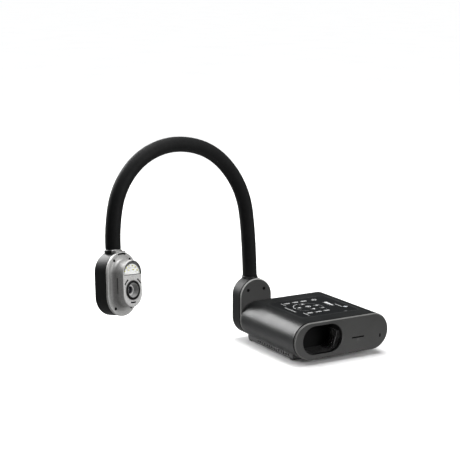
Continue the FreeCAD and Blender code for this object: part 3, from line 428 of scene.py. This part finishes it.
def panel_film():
    """Printed polycarbonate film: finely etched face with a glossier, slightly uneven coat."""
    g = Graph("panel_film")
    g.set(Specular_IOR_Level=0.22, Coat_Weight=0.08, Coat_Roughness=0.25)
    etched = g.noise(3200.0, 2.0, 0.5)
    g.color(g.mix(g.ramp(g.noise(9.0, 3.0), 0.3, 0.7, 0.0, 1.0), (0.0055, 0.0060, 0.0063),
                  (0.0080, 0.0086, 0.0090)))
    g.roughness(g.math("ADD", g.ramp(etched, 0.3, 0.7, 0.30, 0.38),
                       g.ramp(g.noise(35.0, 5.0, 0.7), 0.3, 0.7, -0.04, 0.05)))
    g.bump(etched, 0.000008)
    return g.material


def sleeve_rubber():
    """Soft matte sleeve over the wound neck: fine pebbling, faint turns beneath, light dust."""
    g = Graph("sleeve_rubber")
    g.set(Specular_IOR_Level=0.15, Sheen_Weight=0.03, Sheen_Roughness=0.6)
    pebble = g.cells(900.0, "Distance")
    dust = g.ramp(g.noise(160.0, 5.0, 0.7), 0.45, 0.75, 0.0, 0.55)
    tone = g.mix(g.ramp(g.noise(22.0, 3.0), 0.3, 0.7, 0.0, 1.0), (0.0055, 0.0057, 0.0059),
                 (0.0085, 0.0087, 0.0090))
    g.color(g.mix(dust, tone, (0.014, 0.014, 0.014)))
    g.roughness(g.ramp(g.noise(60.0, 4.0), 0.3, 0.7, 0.58, 0.72))
    height = g.math("ADD", g.math("MULTIPLY", pebble, 0.6), g.math("MULTIPLY", g.noise(420.0, 4.0), 0.8))
    g.bump(height, 0.00010)
    return g.material


def head_paint():
    """Silver paint with fine metal flakes over a bead-blasted casting; pale edges, partly rubbed and partly
    painted highlight; painted shade round the block's root and in holes and slots.
    """
    g = Graph("head_paint")
    g.set(Metallic=0.55, Specular_IOR_Level=0.5, Coat_Weight=0.05, Coat_Roughness=0.45)
    flakes = g.cells(1500.0, "Color")
    bright = g.ramp(flakes, 0.0, 1.0, 0.0, 1.0)
    base = g.mix(bright, (0.58, 0.575, 0.565), (0.87, 0.865, 0.855))
    cloud = g.ramp(g.noise(340.0, 3.0), 0.42, 0.62, 0.0, 0.35)
    tone = g.mix(cloud, base, (0.40, 0.395, 0.385))
    # Pale edges: partly rubbed paint, partly painted highlight.
    edge_wear_and_highlight = g.math("MULTIPLY", g.edge(0.0006), g.ramp(g.noise(120.0), 0.4, 0.7, 0.1, 0.5))
    painted = g.mix(edge_wear_and_highlight, tone, (0.86, 0.86, 0.85))
    # Painted shade where the block rises from the plate and in other hollows.
    shaded = g.mix(g.crevice_shade(0.030, 0.45, 1.0), painted, (0.07, 0.069, 0.067))
    # Painted shade: near black in holes and slots.
    g.color(g.mix(g.crevice_shade(0.004), shaded, (0.02, 0.02, 0.02)))
    g.roughness(g.math("ADD", g.ramp(flakes, 0.0, 1.0, 0.48, 0.62),
                       g.ramp(g.noise(40.0), 0.3, 0.7, -0.03, 0.04)))
    g.bump(g.noise(1100.0, 2.0), 0.00004)
    return g.material


def barrel_metal():
    """Turned and bead-blasted funnel: fine grain with satin sheen."""
    g = Graph("barrel_metal")
    g.set(Metallic=0.7)
    fine = g.noise(1600.0, 2.0)
    g.color(g.mix(g.ramp(fine, 0.35, 0.65, 0.0, 1.0), (0.42, 0.42, 0.42), (0.58, 0.58, 0.57)))
    g.roughness(g.ramp(g.noise(80.0), 0.3, 0.7, 0.32, 0.42))
    g.bump(fine, 0.00003)
    return g.material


def bare_metal(name, dark, light, rough, streak=(1.0, 1.0, 1.0)):
    g = Graph(name)
    g.set(Metallic=1.0)
    grain = g.noise(700.0, 4.0, 0.6, stretch=streak)
    g.color(g.mix(g.ramp(grain, 0.3, 0.7, 0.0, 1.0), dark, light))
    g.roughness(g.ramp(grain, 0.3, 0.7, rough - 0.06, rough + 0.06))
    g.bump(grain, 0.00001)
    return g.material


def steel():
    return bare_metal("steel", (0.45, 0.45, 0.46), (0.62, 0.62, 0.63), 0.30, (1.0, 1.0, 0.1))


def black_screw():
    return bare_metal("black_screw", (0.004, 0.004, 0.004), (0.010, 0.010, 0.010), 0.45)


def shade_black():
    """Near-black matte that swallows light, used as painted shade in the slots and on the sensor window."""
    g = Graph("shade_black")
    g.set(Specular_IOR_Level=0.03)
    fine = g.noise(1600.0, 4.0, 0.7)
    g.color(g.mix(g.ramp(fine, 0.3, 0.7, 0.0, 1.0), (0.0012, 0.0012, 0.0012), (0.0028, 0.0028, 0.0028)))
    g.roughness(g.ramp(fine, 0.3, 0.7, 0.8, 0.95))
    g.bump(fine, 0.00005)
    return g.material


def bezel_plastic():
    return moulded_plastic("bezel_plastic", (0.10, 0.10, 0.10), (0.14, 0.14, 0.14), 0.4, grain=2200.0,
                           depth=0.00001, wear_and_highlight_strength=0.1)


def step_metal():
    """Bright machined step round the lens glass."""
    return bare_metal("step_metal", (0.80, 0.80, 0.79), (0.92, 0.92, 0.91), 0.45)


def socket_metal():
    return bare_metal("socket_metal", (0.50, 0.50, 0.51), (0.66, 0.66, 0.67), 0.28, (1.0, 0.1, 1.0))


def brass():
    return bare_metal("brass", (0.62, 0.45, 0.18), (0.78, 0.60, 0.28), 0.30)


def contact_gold():
    return bare_metal("contact_gold", (0.75, 0.55, 0.22), (0.90, 0.70, 0.32), 0.22)


def heat_sink_metal():
    return bare_metal("heat_sink_metal", (0.50, 0.51, 0.53), (0.62, 0.63, 0.65), 0.40, (1.0, 0.05, 1.0))


def ballast_iron():
    g = Graph("ballast_iron")
    g.set(Metallic=0.6)
    rough = g.noise(420.0, 6.0, 0.7)
    g.color(g.mix(g.ramp(rough, 0.35, 0.7, 0.0, 1.0), (0.10, 0.10, 0.11), (0.20, 0.20, 0.21)))
    g.roughness(g.ramp(rough, 0.3, 0.7, 0.55, 0.75))
    g.bump(rough, 0.0001)
    return g.material


def board_laminate():
    """Solder mask over copper, with the weave just showing."""
    g = Graph("board_laminate")
    g.set(Coat_Weight=0.3, Coat_Roughness=0.2)
    tracks = g.cells(260.0, "Distance", "DISTANCE_TO_EDGE")
    g.color(g.mix(g.ramp(tracks, 0.03, 0.09, 0.0, 1.0), (0.02, 0.16, 0.06), (0.012, 0.085, 0.035)))
    g.roughness(g.ramp(g.noise(900.0), 0.3, 0.7, 0.30, 0.42))
    g.bump(tracks, 0.00002)
    return g.material


def foot_rubber():
    g = Graph("foot_rubber")
    g.set(Specular_IOR_Level=0.25)
    fine = g.noise(700.0, 5.0, 0.65)
    g.color(g.mix(g.ramp(fine, 0.4, 0.7, 0.0, 1.0), (0.012, 0.012, 0.012), (0.028, 0.028, 0.027)))
    g.roughness(g.ramp(fine, 0.3, 0.7, 0.70, 0.88))
    g.bump(fine, 0.00012)
    return g.material


def harness_jacket():
    return moulded_plastic("harness_jacket", (0.010, 0.010, 0.010), (0.016, 0.016, 0.016), 0.5)


def white_tray_painted_glow():
    """White moulded reflector and lamp board, with a faint painted glow standing in for the light that the
    clear window holds back.
    """
    g = Graph("white_tray_painted_glow")
    # Painted light: a faint white glow.
    g.set(Emission_Strength=0.24, Emission_Color=(1.0, 1.0, 0.98, 1))
    fine = g.noise(900.0, 3.0)
    g.color(g.mix(g.ramp(fine, 0.35, 0.65, 0.0, 1.0), (0.78, 0.78, 0.77), (0.86, 0.86, 0.85)))
    g.roughness(g.ramp(fine, 0.3, 0.7, 0.32, 0.45))
    g.bump(fine, 0.00001)
    return g.material


def phosphor():
    """Yellow phosphor gel of a lamp."""
    g = Graph("phosphor")
    g.set(Emission_Strength=0.12, Emission_Color=(0.9, 0.85, 0.2, 1))
    g.set(Subsurface_Weight=0.2, Subsurface_Radius=(0.001, 0.001, 0.0004))
    fine = g.noise(1500.0, 2.0)
    g.color(g.mix(g.ramp(fine, 0.3, 0.7, 0.0, 1.0), (0.62, 0.60, 0.08), (0.80, 0.78, 0.20)))
    g.roughness(g.ramp(fine, 0.3, 0.7, 0.22, 0.35))
    return g.material


def clear_window():
    """Clear polycarbonate with a faint frost."""
    g = Graph("clear_window")
    g.set(Transmission_Weight=1.0, IOR=1.2, Alpha=1.0)
    g.color(g.mix(g.ramp(g.noise(60.0), 0.3, 0.7, 0.0, 1.0), (0.97, 0.98, 0.98), (0.99, 0.99, 0.99)))
    g.roughness(g.ramp(g.noise(240.0, 3.0), 0.3, 0.7, 0.02, 0.09))
    return g.material


def coated_glass():
    """Dark coated lens: deep body, with the coating's blue-violet reflection painted in at grazing view
    angles.
    """
    g = Graph("coated_glass")
    g.set(Specular_IOR_Level=0.9, Coat_Weight=1.0, Coat_Roughness=0.02, Coat_Tint=(0.9, 0.93, 1.0, 1))
    grazing_reflection = g.nodes.new("ShaderNodeLayerWeight")
    grazing_reflection.inputs["Blend"].default_value = 0.35
    # Painted reflection: bluer and lighter where the surface is seen edge-on.
    g.color(g.mix(grazing_reflection.outputs["Facing"], (0.003, 0.003, 0.004), (0.020, 0.018, 0.030)))
    g.roughness(g.ramp(g.noise(200.0), 0.3, 0.7, 0.03, 0.07))
    return g.material


def module_plastic():
    return moulded_plastic("module_plastic", (0.008, 0.008, 0.008), (0.012, 0.012, 0.012), 0.5)


def status_lens():
    g = Graph("status_lens")
    g.set(Transmission_Weight=0.4, Coat_Weight=0.6, Emission_Strength=0.25,
          Emission_Color=(0.75, 0.88, 1.0, 1))
    g.color(g.mix(g.ramp(g.noise(600.0), 0.3, 0.7, 0.0, 1.0), (0.72, 0.80, 0.86), (0.85, 0.90, 0.94)))
    g.roughness(g.ramp(g.noise(800.0), 0.3, 0.7, 0.15, 0.25))
    return g.material


def print_ink():
    """White screen print, a little thin in places."""
    g = Graph("print_ink")
    ink_wear_and_bevel_highlight = g.ramp(g.noise(1400.0, 4.0, 0.7), 0.55, 0.8, 0.0, 0.5)
    g.color(g.mix(ink_wear_and_bevel_highlight, (0.66, 0.67, 0.67), (0.36, 0.37, 0.37)))
    g.roughness(g.ramp(g.noise(900.0), 0.3, 0.7, 0.45, 0.6))
    return g.material


def film_edge():
    """Pale cut edge of the panel film, handled in places."""
    g = Graph("film_edge")
    g.set(Specular_IOR_Level=0.3)
    g.color(g.mix(g.ramp(g.noise(120.0, 4.0, 0.6), 0.35, 0.65, 0.0, 1.0), (0.040, 0.041, 0.042),
                  (0.075, 0.077, 0.078)))
    g.roughness(g.ramp(g.noise(600.0), 0.3, 0.7, 0.35, 0.5))
    return g.material


def dim_ink():
    """Grey screen print of the panel's thin rules."""
    g = Graph("dim_ink")
    ink_wear_and_bevel_highlight = g.ramp(g.noise(1400.0, 4.0, 0.7), 0.5, 0.8, 0.0, 0.6)
    g.color(g.mix(ink_wear_and_bevel_highlight, (0.22, 0.225, 0.225), (0.12, 0.122, 0.122)))
    g.roughness(g.ramp(g.noise(900.0), 0.3, 0.7, 0.45, 0.6))
    return g.material


MATERIALS = {}


def material(maker):
    """One material per maker, made when it is first asked for."""
    if maker.__name__ not in MATERIALS:
        MATERIALS[maker.__name__] = maker()
    return MATERIALS[maker.__name__]


NODE_MATERIALS = {
    shell_plastic: ["base_shell"],
    housing_plastic: ["knuckle_housing"],
    rear_head_plastic: ["head_rear_housing"],
    front_plate_plastic: ["front_end_plate"],
    cover_plate_plastic: ["knuckle_front_cover"],
    end_plate_plastic: ["rear_end_plate"],
    panel_film: ["control_panel_overlay"],
    plinth_plastic: ["bottom_cover"],
    liner_plastic: ["dock_liner"],
    foot_rubber: ["rubber_feet"],
    black_screw: ["base_screws", "knuckle_screws", "head_screws"],
    ballast_iron: ["ballast_plate"],
    board_laminate: ["main_board", "keypad_board"],
    brass: ["board_fixings"],
    heat_sink_metal: ["heat_sink"],
    socket_metal: ["rear_sockets"],
    steel: ["dome_switches"],
    status_lens: ["status_led"],
    collar_plastic: ["lower_collar", "head_collar"],
    clamp_plastic: ["neck_clamp"],
    harness_jacket: ["base_harness"],
    head_paint: ["head_front_cover"],
    clear_window: ["lamp_window"],
    white_tray_painted_glow: ["lamp_board", "lamp_chips"],
    lens_plastic: ["lens_ring"],
    bezel_plastic: ["lamp_bezel"],
    shade_black: ["sensor_window"],
    barrel_metal: ["lens_barrel"],
    coated_glass: ["lens_glass"],
    module_plastic: ["camera_module", "sd_card_socket"],
}


def dress_nodes():
    """Every CAD node that shows gets its own material; every key shares the key plastic."""
    chosen = {node: maker for maker, nodes in NODE_MATERIALS.items() for node in nodes}
    for name, obj in frame["nodes"].items():
        maker = chosen.get(name, key_plastic)
        obj.data.materials.clear()
        obj.data.materials.append(material(maker))


# ---- mesh helpers -----------------------------------------------------------------------------
def new_piece(name, mesh, maker, body=None, place=None):
    """Finish a bmesh as a piece: closed, smooth-shaded with sharp corners, on its body."""
    bmesh.ops.recalc_face_normals(mesh, faces=mesh.faces)
    for face in mesh.faces:
        face.smooth = True
    for edge in mesh.edges:
        if len(edge.link_faces) == 2 and edge.calc_face_angle(0.0) > math.radians(35):
            edge.smooth = False
    data = bpy.data.meshes.new(name)
    mesh.to_mesh(data)
    mesh.free()
    if place is not None:
        data.transform(place)
    data.materials.append(material(maker))
    obj = bpy.data.objects.new(name, data)
    bpy.context.scene.collection.objects.link(obj)
    if body is not None:
        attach(obj, body)
    return obj


def join_rings(mesh, first, second):
    """Band of quads between two closed rings of vertices."""
    for i in range(len(first)):
        j = (i + 1) % len(first)
        mesh.faces.new((first[i], first[j], second[j], second[i]))


def add_prism(mesh, outline, low, high):
    """Closed slab between two heights over an XY outline."""
    lower, upper = ([mesh.verts.new((x, y, z)) for x, y in outline] for z in (low, high))
    join_rings(mesh, lower, upper)
    mesh.faces.new(list(reversed(lower)))
    mesh.faces.new(upper)


def add_frame(mesh, outer, inner, low, high):
    """Closed ring between two XY outlines of the same point count."""
    loops = [[mesh.verts.new((x, y, z)) for x, y in line]
             for line, z in ((outer, low), (outer, high), (inner, high), (inner, low))]
    for a in range(4):
        join_rings(mesh, loops[a], loops[(a + 1) % 4])


def add_open_frame(mesh, outer, inner, low, high):
    """Like add_frame, but the two lines are open, and the strip gets an end at each side."""
    loops = [[mesh.verts.new((x, y, z)) for x, y in line]
             for line, z in ((outer, low), (outer, high), (inner, high), (inner, low))]
    for a in range(4):
        first, second = loops[a], loops[(a + 1) % 4]
        for i in range(len(outer) - 1):
            mesh.faces.new((first[i], first[i + 1], second[i + 1], second[i]))
    for i in (0, -1):
        mesh.faces.new([loop[i] for loop in loops])


def arc_points(x, y, radius, start, end, count):
    return [(x + radius * math.cos(math.radians(start + (end - start) * i / (count - 1))),
             y + radius * math.sin(math.radians(start + (end - start) * i / (count - 1))))
            for i in range(count)]


def circle_points(x, y, radius, count=48):
    return arc_points(x, y, radius, 0, 360 * (count - 1) / count, count)


def lathe(mesh, profile, count=96):
    """Turns a closed (radius, depth) profile about the Y axis."""
    rings = []
    for i in range(count):
        angle = 2 * math.pi * i / count
        rings.append([mesh.verts.new((r * math.cos(angle), y, r * math.sin(angle))) for r, y in profile])
    for i in range(count):
        join_rings(mesh, rings[i], rings[(i + 1) % count])


# ---- neck sleeve ---------------------------------------------------------------------------------
FIRST_ANGLE = 2.0                      # the neck's lean from upright where it leaves the knuckle
SLEEVE_OUT = 13.35 * MM
SLEEVE_IN = 11.0 * MM
SLEEVE_SIDES = 64
SLEEVE_STEP = 1.0 * MM
SLEEVE_START = 1.9 * MM                # above the knuckle's top, inside the lower collar
BALL_R = 16.0 * MM                     # the neck's last ball, which the sleeve's end follows
NECK_JOINTS = ["neck_swing"] + ["%s_bend_%d" % (part, n) for part in ("lower", "middle", "upper")
                                for n in (1, 2, 3)] + ["head_twist"]


class NeckCurve:
    """The neck's centreline: one tangent arc from each joint to the next."""

    def __init__(self):
        self.joints = [Vector(JOINTS[name]["pos_m"]) for name in NECK_JOINTS]
        span = self.joints[-1] - self.joints[0]
        self.reach = Vector((span.x, span.y, 0)).normalized()
        self.angles = [math.radians(FIRST_ANGLE)]
        self.lengths = []
        for a, b in zip(self.joints, self.joints[1:]):
            chord = b - a
            middle = math.atan2(chord.dot(self.reach), chord.z)
            if middle < self.angles[-1] - math.pi / 2:
                middle += 2 * math.pi
            self.angles.append(2 * middle - self.angles[-1])
            half = (self.angles[-1] - self.angles[-2]) / 2
            self.lengths.append(chord.length * half / math.sin(half))

    def at(self, index, share):
        """Point and direction at a share of the arc from joint index to the next."""
        start, end = self.angles[index], self.angles[index + 1]
        angle = start + (end - start) * share
        half = (angle - start) / 2
        chord = self.lengths[index] * share * (math.sin(half) / half if half > 1e-9 else 1.0)
        return (self.joints[index] + self.heading(start + half) * chord, self.heading(angle))

    def heading(self, angle):
        return self.reach * math.sin(angle) + Vector((0, 0, 1)) * math.cos(angle)


def sleeve_mesh(stations):
    """Hollow tube through (point, direction, outer radius) stations, closed at both ends."""
    mesh = bmesh.new()
    side = stations[0][1].cross(Vector((0, 0, 1))).normalized()
    outer, inner = [], []
    for point, along, reach in stations:
        up = side.cross(along).normalized()
        for radius, rings in ((reach, outer), (min(SLEEVE_IN, reach - 0.5 * MM), inner)):
            ring = []
            for i in range(SLEEVE_SIDES):
                angle = 2 * math.pi * i / SLEEVE_SIDES
                ring.append(mesh.verts.new(point + (side * math.cos(angle) + up * math.sin(angle)) * radius))
            rings.append(ring)
    for rings in (outer, inner):
        for first, second in zip(rings, rings[1:]):
            join_rings(mesh, first, second)
    for end in (0, -1):
        join_rings(mesh, outer[end], inner[end])
    return mesh


def make_neck():
    """One sleeve piece over each joint, from mid-link to mid-link, and one at each end."""
    curve = NeckCurve()
    links = ["neck_link_%02d" % n for n in range(1, len(curve.joints))]
    last = len(links) - 1

    def stretch(index, low, high):
        count = max(2, round(curve.lengths[index] * (high - low) / SLEEVE_STEP) + 1)
        return [(*curve.at(index, low + (high - low) * i / (count - 1)), SLEEVE_OUT) for i in range(count)]

    low = SLEEVE_START / curve.lengths[0]
    foot = new_piece("neck_sleeve_00", sleeve_mesh(stretch(0, low, 0.5)), sleeve_rubber,
                     links[0])
    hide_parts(links[0])
    for n in range(1, len(links)):
        stations = stretch(n - 1, 0.5, 1.0) + stretch(n, 0.0, 0.5)[1:]
        piece = new_piece("neck_sleeve_%02d" % n, sleeve_mesh(stations), sleeve_rubber)
        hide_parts(links[n])
        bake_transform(piece)
    end, along = curve.at(last, 1.0)
    straight = math.sqrt(BALL_R ** 2 - SLEEVE_OUT ** 2)
    tip = [(end + along * (straight * i / 8), along, SLEEVE_OUT) for i in range(1, 9)]
    for i in range(1, 12):
        depth = straight + (0.985 * BALL_R - straight) * math.sin(math.radians(90 * i / 12))
        tip.append((end + along * depth, along, math.sqrt(BALL_R ** 2 - depth ** 2)))
    new_piece("neck_sleeve_%02d" % len(links), sleeve_mesh(stretch(last, 0.5, 1.0) + tip), sleeve_rubber,
              links[last])


# ---- printed marks of the key panel -------------------------------------------------------------
INK = 0.03 * MM


def ink_on(top):
    return top, top + INK


def bar(x, y, width, depth):
    return [(x - width / 2, y - depth / 2), (x + width / 2, y - depth / 2),
            (x + width / 2, y + depth / 2), (x - width / 2, y + depth / 2)]


def arrow(x, y, size, angle):
    """Triangle that points at the angle."""
    return [(x + size * math.cos(math.radians(angle + turn)), y + size * math.sin(math.radians(angle + turn)))
            for turn in (0, 125, 235)]


def plan_middle(node):
    low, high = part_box(node)
    return (low.x + high.x) / 2, (low.y + high.y) / 2


def key_mark(key, draw):
    """One key's printed mark, riding on that key."""
    mesh = bmesh.new()
    draw(mesh, *plan_middle(key), ink_on(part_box(key)[1].z))
    new_piece(key + "_mark", mesh, print_ink, key)


def label_mark(widths):
    """Row of short strokes, one under the other, in place of a caption."""
    def draw(mesh, x, y, z):
        for row, width in enumerate(widths):
            add_prism(mesh, bar(x, y + (1.5 - 3.0 * row) * MM, width * MM, 1.5 * MM), *z)
    return draw


def arrow_mark(angle):
    def draw(mesh, x, y, z):
        add_prism(mesh, arrow(x, y, 3.9 * MM, angle), *z)
    return draw


def enter_mark(mesh, x, y, z):
    add_prism(mesh, circle_points(x, y, 2.0 * MM, 24), *z)
    add_frame(mesh, circle_points(x, y, 4.7 * MM), circle_points(x, y, 3.7 * MM), *z)


def power_mark(mesh, x, y, z):
    add_open_frame(mesh, arc_points(x, y, 4.4 * MM, 120, 420, 40),
                   arc_points(x, y, 3.0 * MM, 120, 420, 40), *z)
    add_prism(mesh, bar(x, y + 2.6 * MM, 1.3 * MM, 4.4 * MM), *z)


def return_mark(mesh, x, y, z):
    add_prism(mesh, arrow(x - 1.9 * MM, y - 0.8 * MM, 2.4 * MM, 180), *z)
    add_prism(mesh, bar(x + 0.9 * MM, y - 0.8 * MM, 4.4 * MM, 1.2 * MM), *z)
    add_prism(mesh, bar(x + 2.5 * MM, y + 1.1 * MM, 1.2 * MM, 2.6 * MM), *z)


def zoom_mark(mesh, x, y, z):
    """Wedge that widens towards the rear."""
    add_prism(mesh, [(x - 0.9 * MM, y - 13.5 * MM), (x + 0.9 * MM, y - 13.5 * MM),
                     (x + 3.4 * MM, y + 13.5 * MM), (x - 3.4 * MM, y + 13.5 * MM)], *z)


def rounded_rectangle(low, high, inset, radius, steps=10):
    """Outline of a box's plan, drawn in by an inset, with round corners."""
    reach = radius - inset
    line = []
    for x, y, start in ((high.x - radius, high.y - radius, 0), (low.x + radius, high.y - radius, 90),
                        (low.x + radius, low.y + radius, 180), (high.x - radius, low.y + radius, 270)):
        line += arc_points(x, y, reach, start, start + 90, steps)
    return line


def panel_marks():
    """Rules, brackets and the pale cut edge of the film."""
    film_low, film_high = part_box("control_panel_overlay")
    z = ink_on(film_high.z)
    nav = plan_middle("nav_enter_key")
    led = plan_middle("status_led")
    zoom_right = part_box("zoom_rocker")[1].x
    mesh = bmesh.new()
    for start, end in ((28, 98), (188, 242), (-20, 20)):
        add_open_frame(mesh, arc_points(*nav, 27.4 * MM, start, end, 24),
                       arc_points(*nav, 26.8 * MM, start, end, 24), *z)
    new_piece("panel_rules", mesh, dim_ink, "base")
    mesh = bmesh.new()
    add_frame(mesh, rounded_rectangle(film_low, film_high, 0.1 * MM, 7.8 * MM),
              rounded_rectangle(film_low, film_high, 1.0 * MM, 7.8 * MM), *z)
    new_piece("film_edge", mesh, film_edge, "base")
    mesh = bmesh.new()
    add_open_frame(mesh, arc_points(*nav, 27.6 * MM, 105, 182, 32),
                   arc_points(*nav, 26.6 * MM, 105, 182, 32), *z)
    add_prism(mesh, bar(nav[0] - 39.6 * MM, nav[1] - 1.7 * MM, 1.4 * MM, 37 * MM), *z)
    for key, depth in (("rear_key_left", 17.5), ("front_key_left", 20.0)):
        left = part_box(key)[0].x
        add_prism(mesh, bar(left - 1.2 * MM, plan_middle(key)[1] - 1.6 * MM, 1.1 * MM, depth * MM), *z)
    add_prism(mesh, bar(zoom_right + 4.6 * MM, nav[1] - 17.5 * MM, 1.2 * MM, 23 * MM), *z)
    add_frame(mesh, circle_points(*led, 3.8 * MM), circle_points(*led, 2.6 * MM), *z)
    new_piece("panel_print", mesh, print_ink, "base")
    mesh = bmesh.new()
    add_prism(mesh, bar(led[0] - 17.5 * MM, led[1] - 26 * MM, 6.0 * MM, 1.6 * MM), *z)
    new_piece("panel_caption", mesh, dim_ink, "base")


LABEL_WIDTHS = {                       # mm, upper and lower stroke
    "rear_key_left": (11, 9),
    "rear_key_middle": (12, 10),
    "rear_key_right": (11, 12),
    "front_key_left": (9, 11),
    "front_key_middle": (10, 12),
    "front_key_right": (12, 10),
}
ARROW_ANGLES = {"nav_up_key": 90, "nav_left_key": 180, "nav_right_key": 0, "nav_down_key": 270}


def make_prints():
    for key, widths in LABEL_WIDTHS.items():
        key_mark(key, label_mark(widths))
    for key, angle in ARROW_ANGLES.items():
        key_mark(key, arrow_mark(angle))
    key_mark("nav_enter_key", enter_mark)
    key_mark("power_key", power_mark)
    key_mark("return_key", return_mark)
    key_mark("zoom_rocker", zoom_mark)
    panel_marks()


# ---- lamp and lens details, in the head's own frame -----------------------------------------------
def half_disc(inset, count=40):
    """Outline of the lamp's half disc in (x, z), from the right end of its flat edge."""
    radius, base = LAMP_RADIUS - inset, 1.0 * MM + inset
    tip = math.degrees(math.asin(base / radius))
    return arc_points(0, LAMP_BASE_Z, radius, tip, 180 - tip, count)


def stand_up(mesh):
    """Turns a shape drawn in XY with its heights along Z into the head's XZ plane, heights along Y."""
    for vert in mesh.verts:
        x, z, y = vert.co
        vert.co = (x, y, z)


def add_dome(mesh, x, z, base, radius, height, count=20, steps=5):
    """Low round dome that bulges towards -Y from a base plane."""
    rings = []
    for step in range(steps):
        turn = math.radians(90 * step / steps)
        rings.append([mesh.verts.new((px, base - height * math.sin(turn), pz))
                      for px, pz in circle_points(x, z, radius * math.cos(turn), count)])
    for lower, upper in zip(rings, rings[1:]):
        join_rings(mesh, lower, upper)
    mesh.faces.new(rings[0])
    mesh.faces.new(rings[-1])


def make_slot_shades():
    """Painted shade: near-black pieces in the curved lens slots and the top slot, almost level with the
    silver faces round them, and in the card and lock slots.
    """
    shades = bmesh.new()
    for angle in LENS_SLOT_ANGLES:
        start, end = angle - 15.5, angle + 15.5
        add_open_frame(shades, arc_points(0, LENS_Z, 22.0 * MM, start, end, 12),
                       arc_points(0, LENS_Z, 19.6 * MM, start, end, 12), BLOCK_FRONT - 0.04 * MM,
                       BLOCK_FRONT + 1.5 * MM)
    add_open_frame(shades, arc_points(0, HEAD_ARC_Z, 32.6 * MM, 73.5, 106.5, 20),
                   arc_points(0, HEAD_ARC_Z, 29.9 * MM, 73.5, 106.5, 20), -0.04 * MM, 0.75 * MM)
    stand_up(shades)
    new_piece("slot_shades", shades, shade_black, "head", HEAD)
    # Painted shade filling the card slot and the lock slot.
    shade_fill = bmesh.new()
    add_prism(shade_fill, bar(CARD_SLOT.x, FRONT_Y + 1.3 * MM, 25.8 * MM, 1.6 * MM),
              CARD_SLOT.z - 1.2 * MM, CARD_SLOT.z + 1.2 * MM)
    add_prism(shade_fill, bar(LOCK_SLOT.x, FRONT_Y + 1.3 * MM, 2.0 * MM, 1.6 * MM),
              LOCK_SLOT.z - 2.9 * MM, LOCK_SLOT.z + 2.9 * MM)
    new_piece("slot_shade_fill", shade_fill, shade_black, "base")


def make_socket_detail():
    """Gilded contacts on the tongues of the three flat sockets, and the pins of the screen socket."""
    contacts = bmesh.new()
    for x, width in FLAT_SOCKETS:
        count = int((width - 5) / 1.1)
        for index in range(count):
            at = x * MM + (index - (count - 1) / 2) * 1.1 * MM
            add_prism(contacts, bar(at, 86.3 * MM, 0.55 * MM, 5.6 * MM), TONGUE_Z, TONGUE_Z + 0.06 * MM)
    for row in range(3):
        for column in range(5):
            x = SCREEN_SOCKET.x + ((column - 2) * 2.3 + (row - 1) * 0.6) * MM
            z = SCREEN_SOCKET.z + (row - 1) * 2.1 * MM
            add_dome(contacts, x, z, 0.0, 0.42 * MM, -0.5 * MM)
    for vert in contacts.verts:
        if abs(vert.co.y) < 1.0 * MM:
            vert.co.y += SCREEN_SOCKET.y + 3.1 * MM
    new_piece("socket_contacts", contacts, contact_gold, "base")
    insert = bmesh.new()
    add_prism(insert, bar(SCREEN_SOCKET.x, SCREEN_SOCKET.y + 1.6 * MM, 15.0 * MM, 3.0 * MM),
              SCREEN_SOCKET.z - 3.6 * MM, SCREEN_SOCKET.z + 3.6 * MM)
    new_piece("socket_insert", insert, module_plastic, "base")


FUNNEL_MOUTH = 11.8 * MM
FUNNEL_NARROWS = 2.8 * MM
FUNNEL_DEPTH = 7.2 * MM


def make_lens_detail():
    """Turned steps in the funnel and the bright step round the glass."""
    place = HEAD @ Matrix.Translation((0, 0, LENS_Z))
    start = BLOCK_FRONT - 0.4 * MM
    line = []
    for step in range(STEP_COUNT):
        near, far = (FUNNEL_DEPTH * (step + k) / STEP_COUNT for k in (0, 1))
        radius = FUNNEL_MOUTH - FUNNEL_NARROWS * far / FUNNEL_DEPTH - 0.05 * MM
        line += [(radius, start + near + 0.05 * MM), (radius, start + far)]
    back = [(line[-1][0] + 0.35 * MM, line[-1][1]), (line[0][0] + 0.35 * MM, line[0][1])]
    funnel = bmesh.new()
    lathe(funnel, line + back)
    new_piece("lens_funnel", funnel, barrel_metal, "head", place)
    ring = bmesh.new()
    front, back = start + 7.9 * MM, start + 7.98 * MM
    lathe(ring, [(6.7 * MM, front), (8.9 * MM, front), (8.9 * MM, back), (6.7 * MM, back)])
    new_piece("lens_step", ring, step_metal, "head", place)


def make_lamp():
    tray = bmesh.new()
    add_frame(tray, half_disc(0.05 * MM), half_disc(0.55 * MM),
              BLOCK_FRONT + 1.9 * MM, BLOCK_FRONT + 5.1 * MM)
    stand_up(tray)
    new_piece("lamp_reflector", tray, white_tray_painted_glow, "head", HEAD)
    domes = bmesh.new()
    for x, z in CHIP_PLACES:
        add_dome(domes, x * MM, LAMP_BASE_Z + z * MM, CHIP_FRONT, 1.25 * MM, 0.8 * MM)
    new_piece("lamp_domes", domes, phosphor, "head", HEAD)


make_camera()
make_stage()
dress_nodes()
make_neck()
make_prints()
make_lamp()
make_slot_shades()
make_lens_detail()
make_socket_detail()
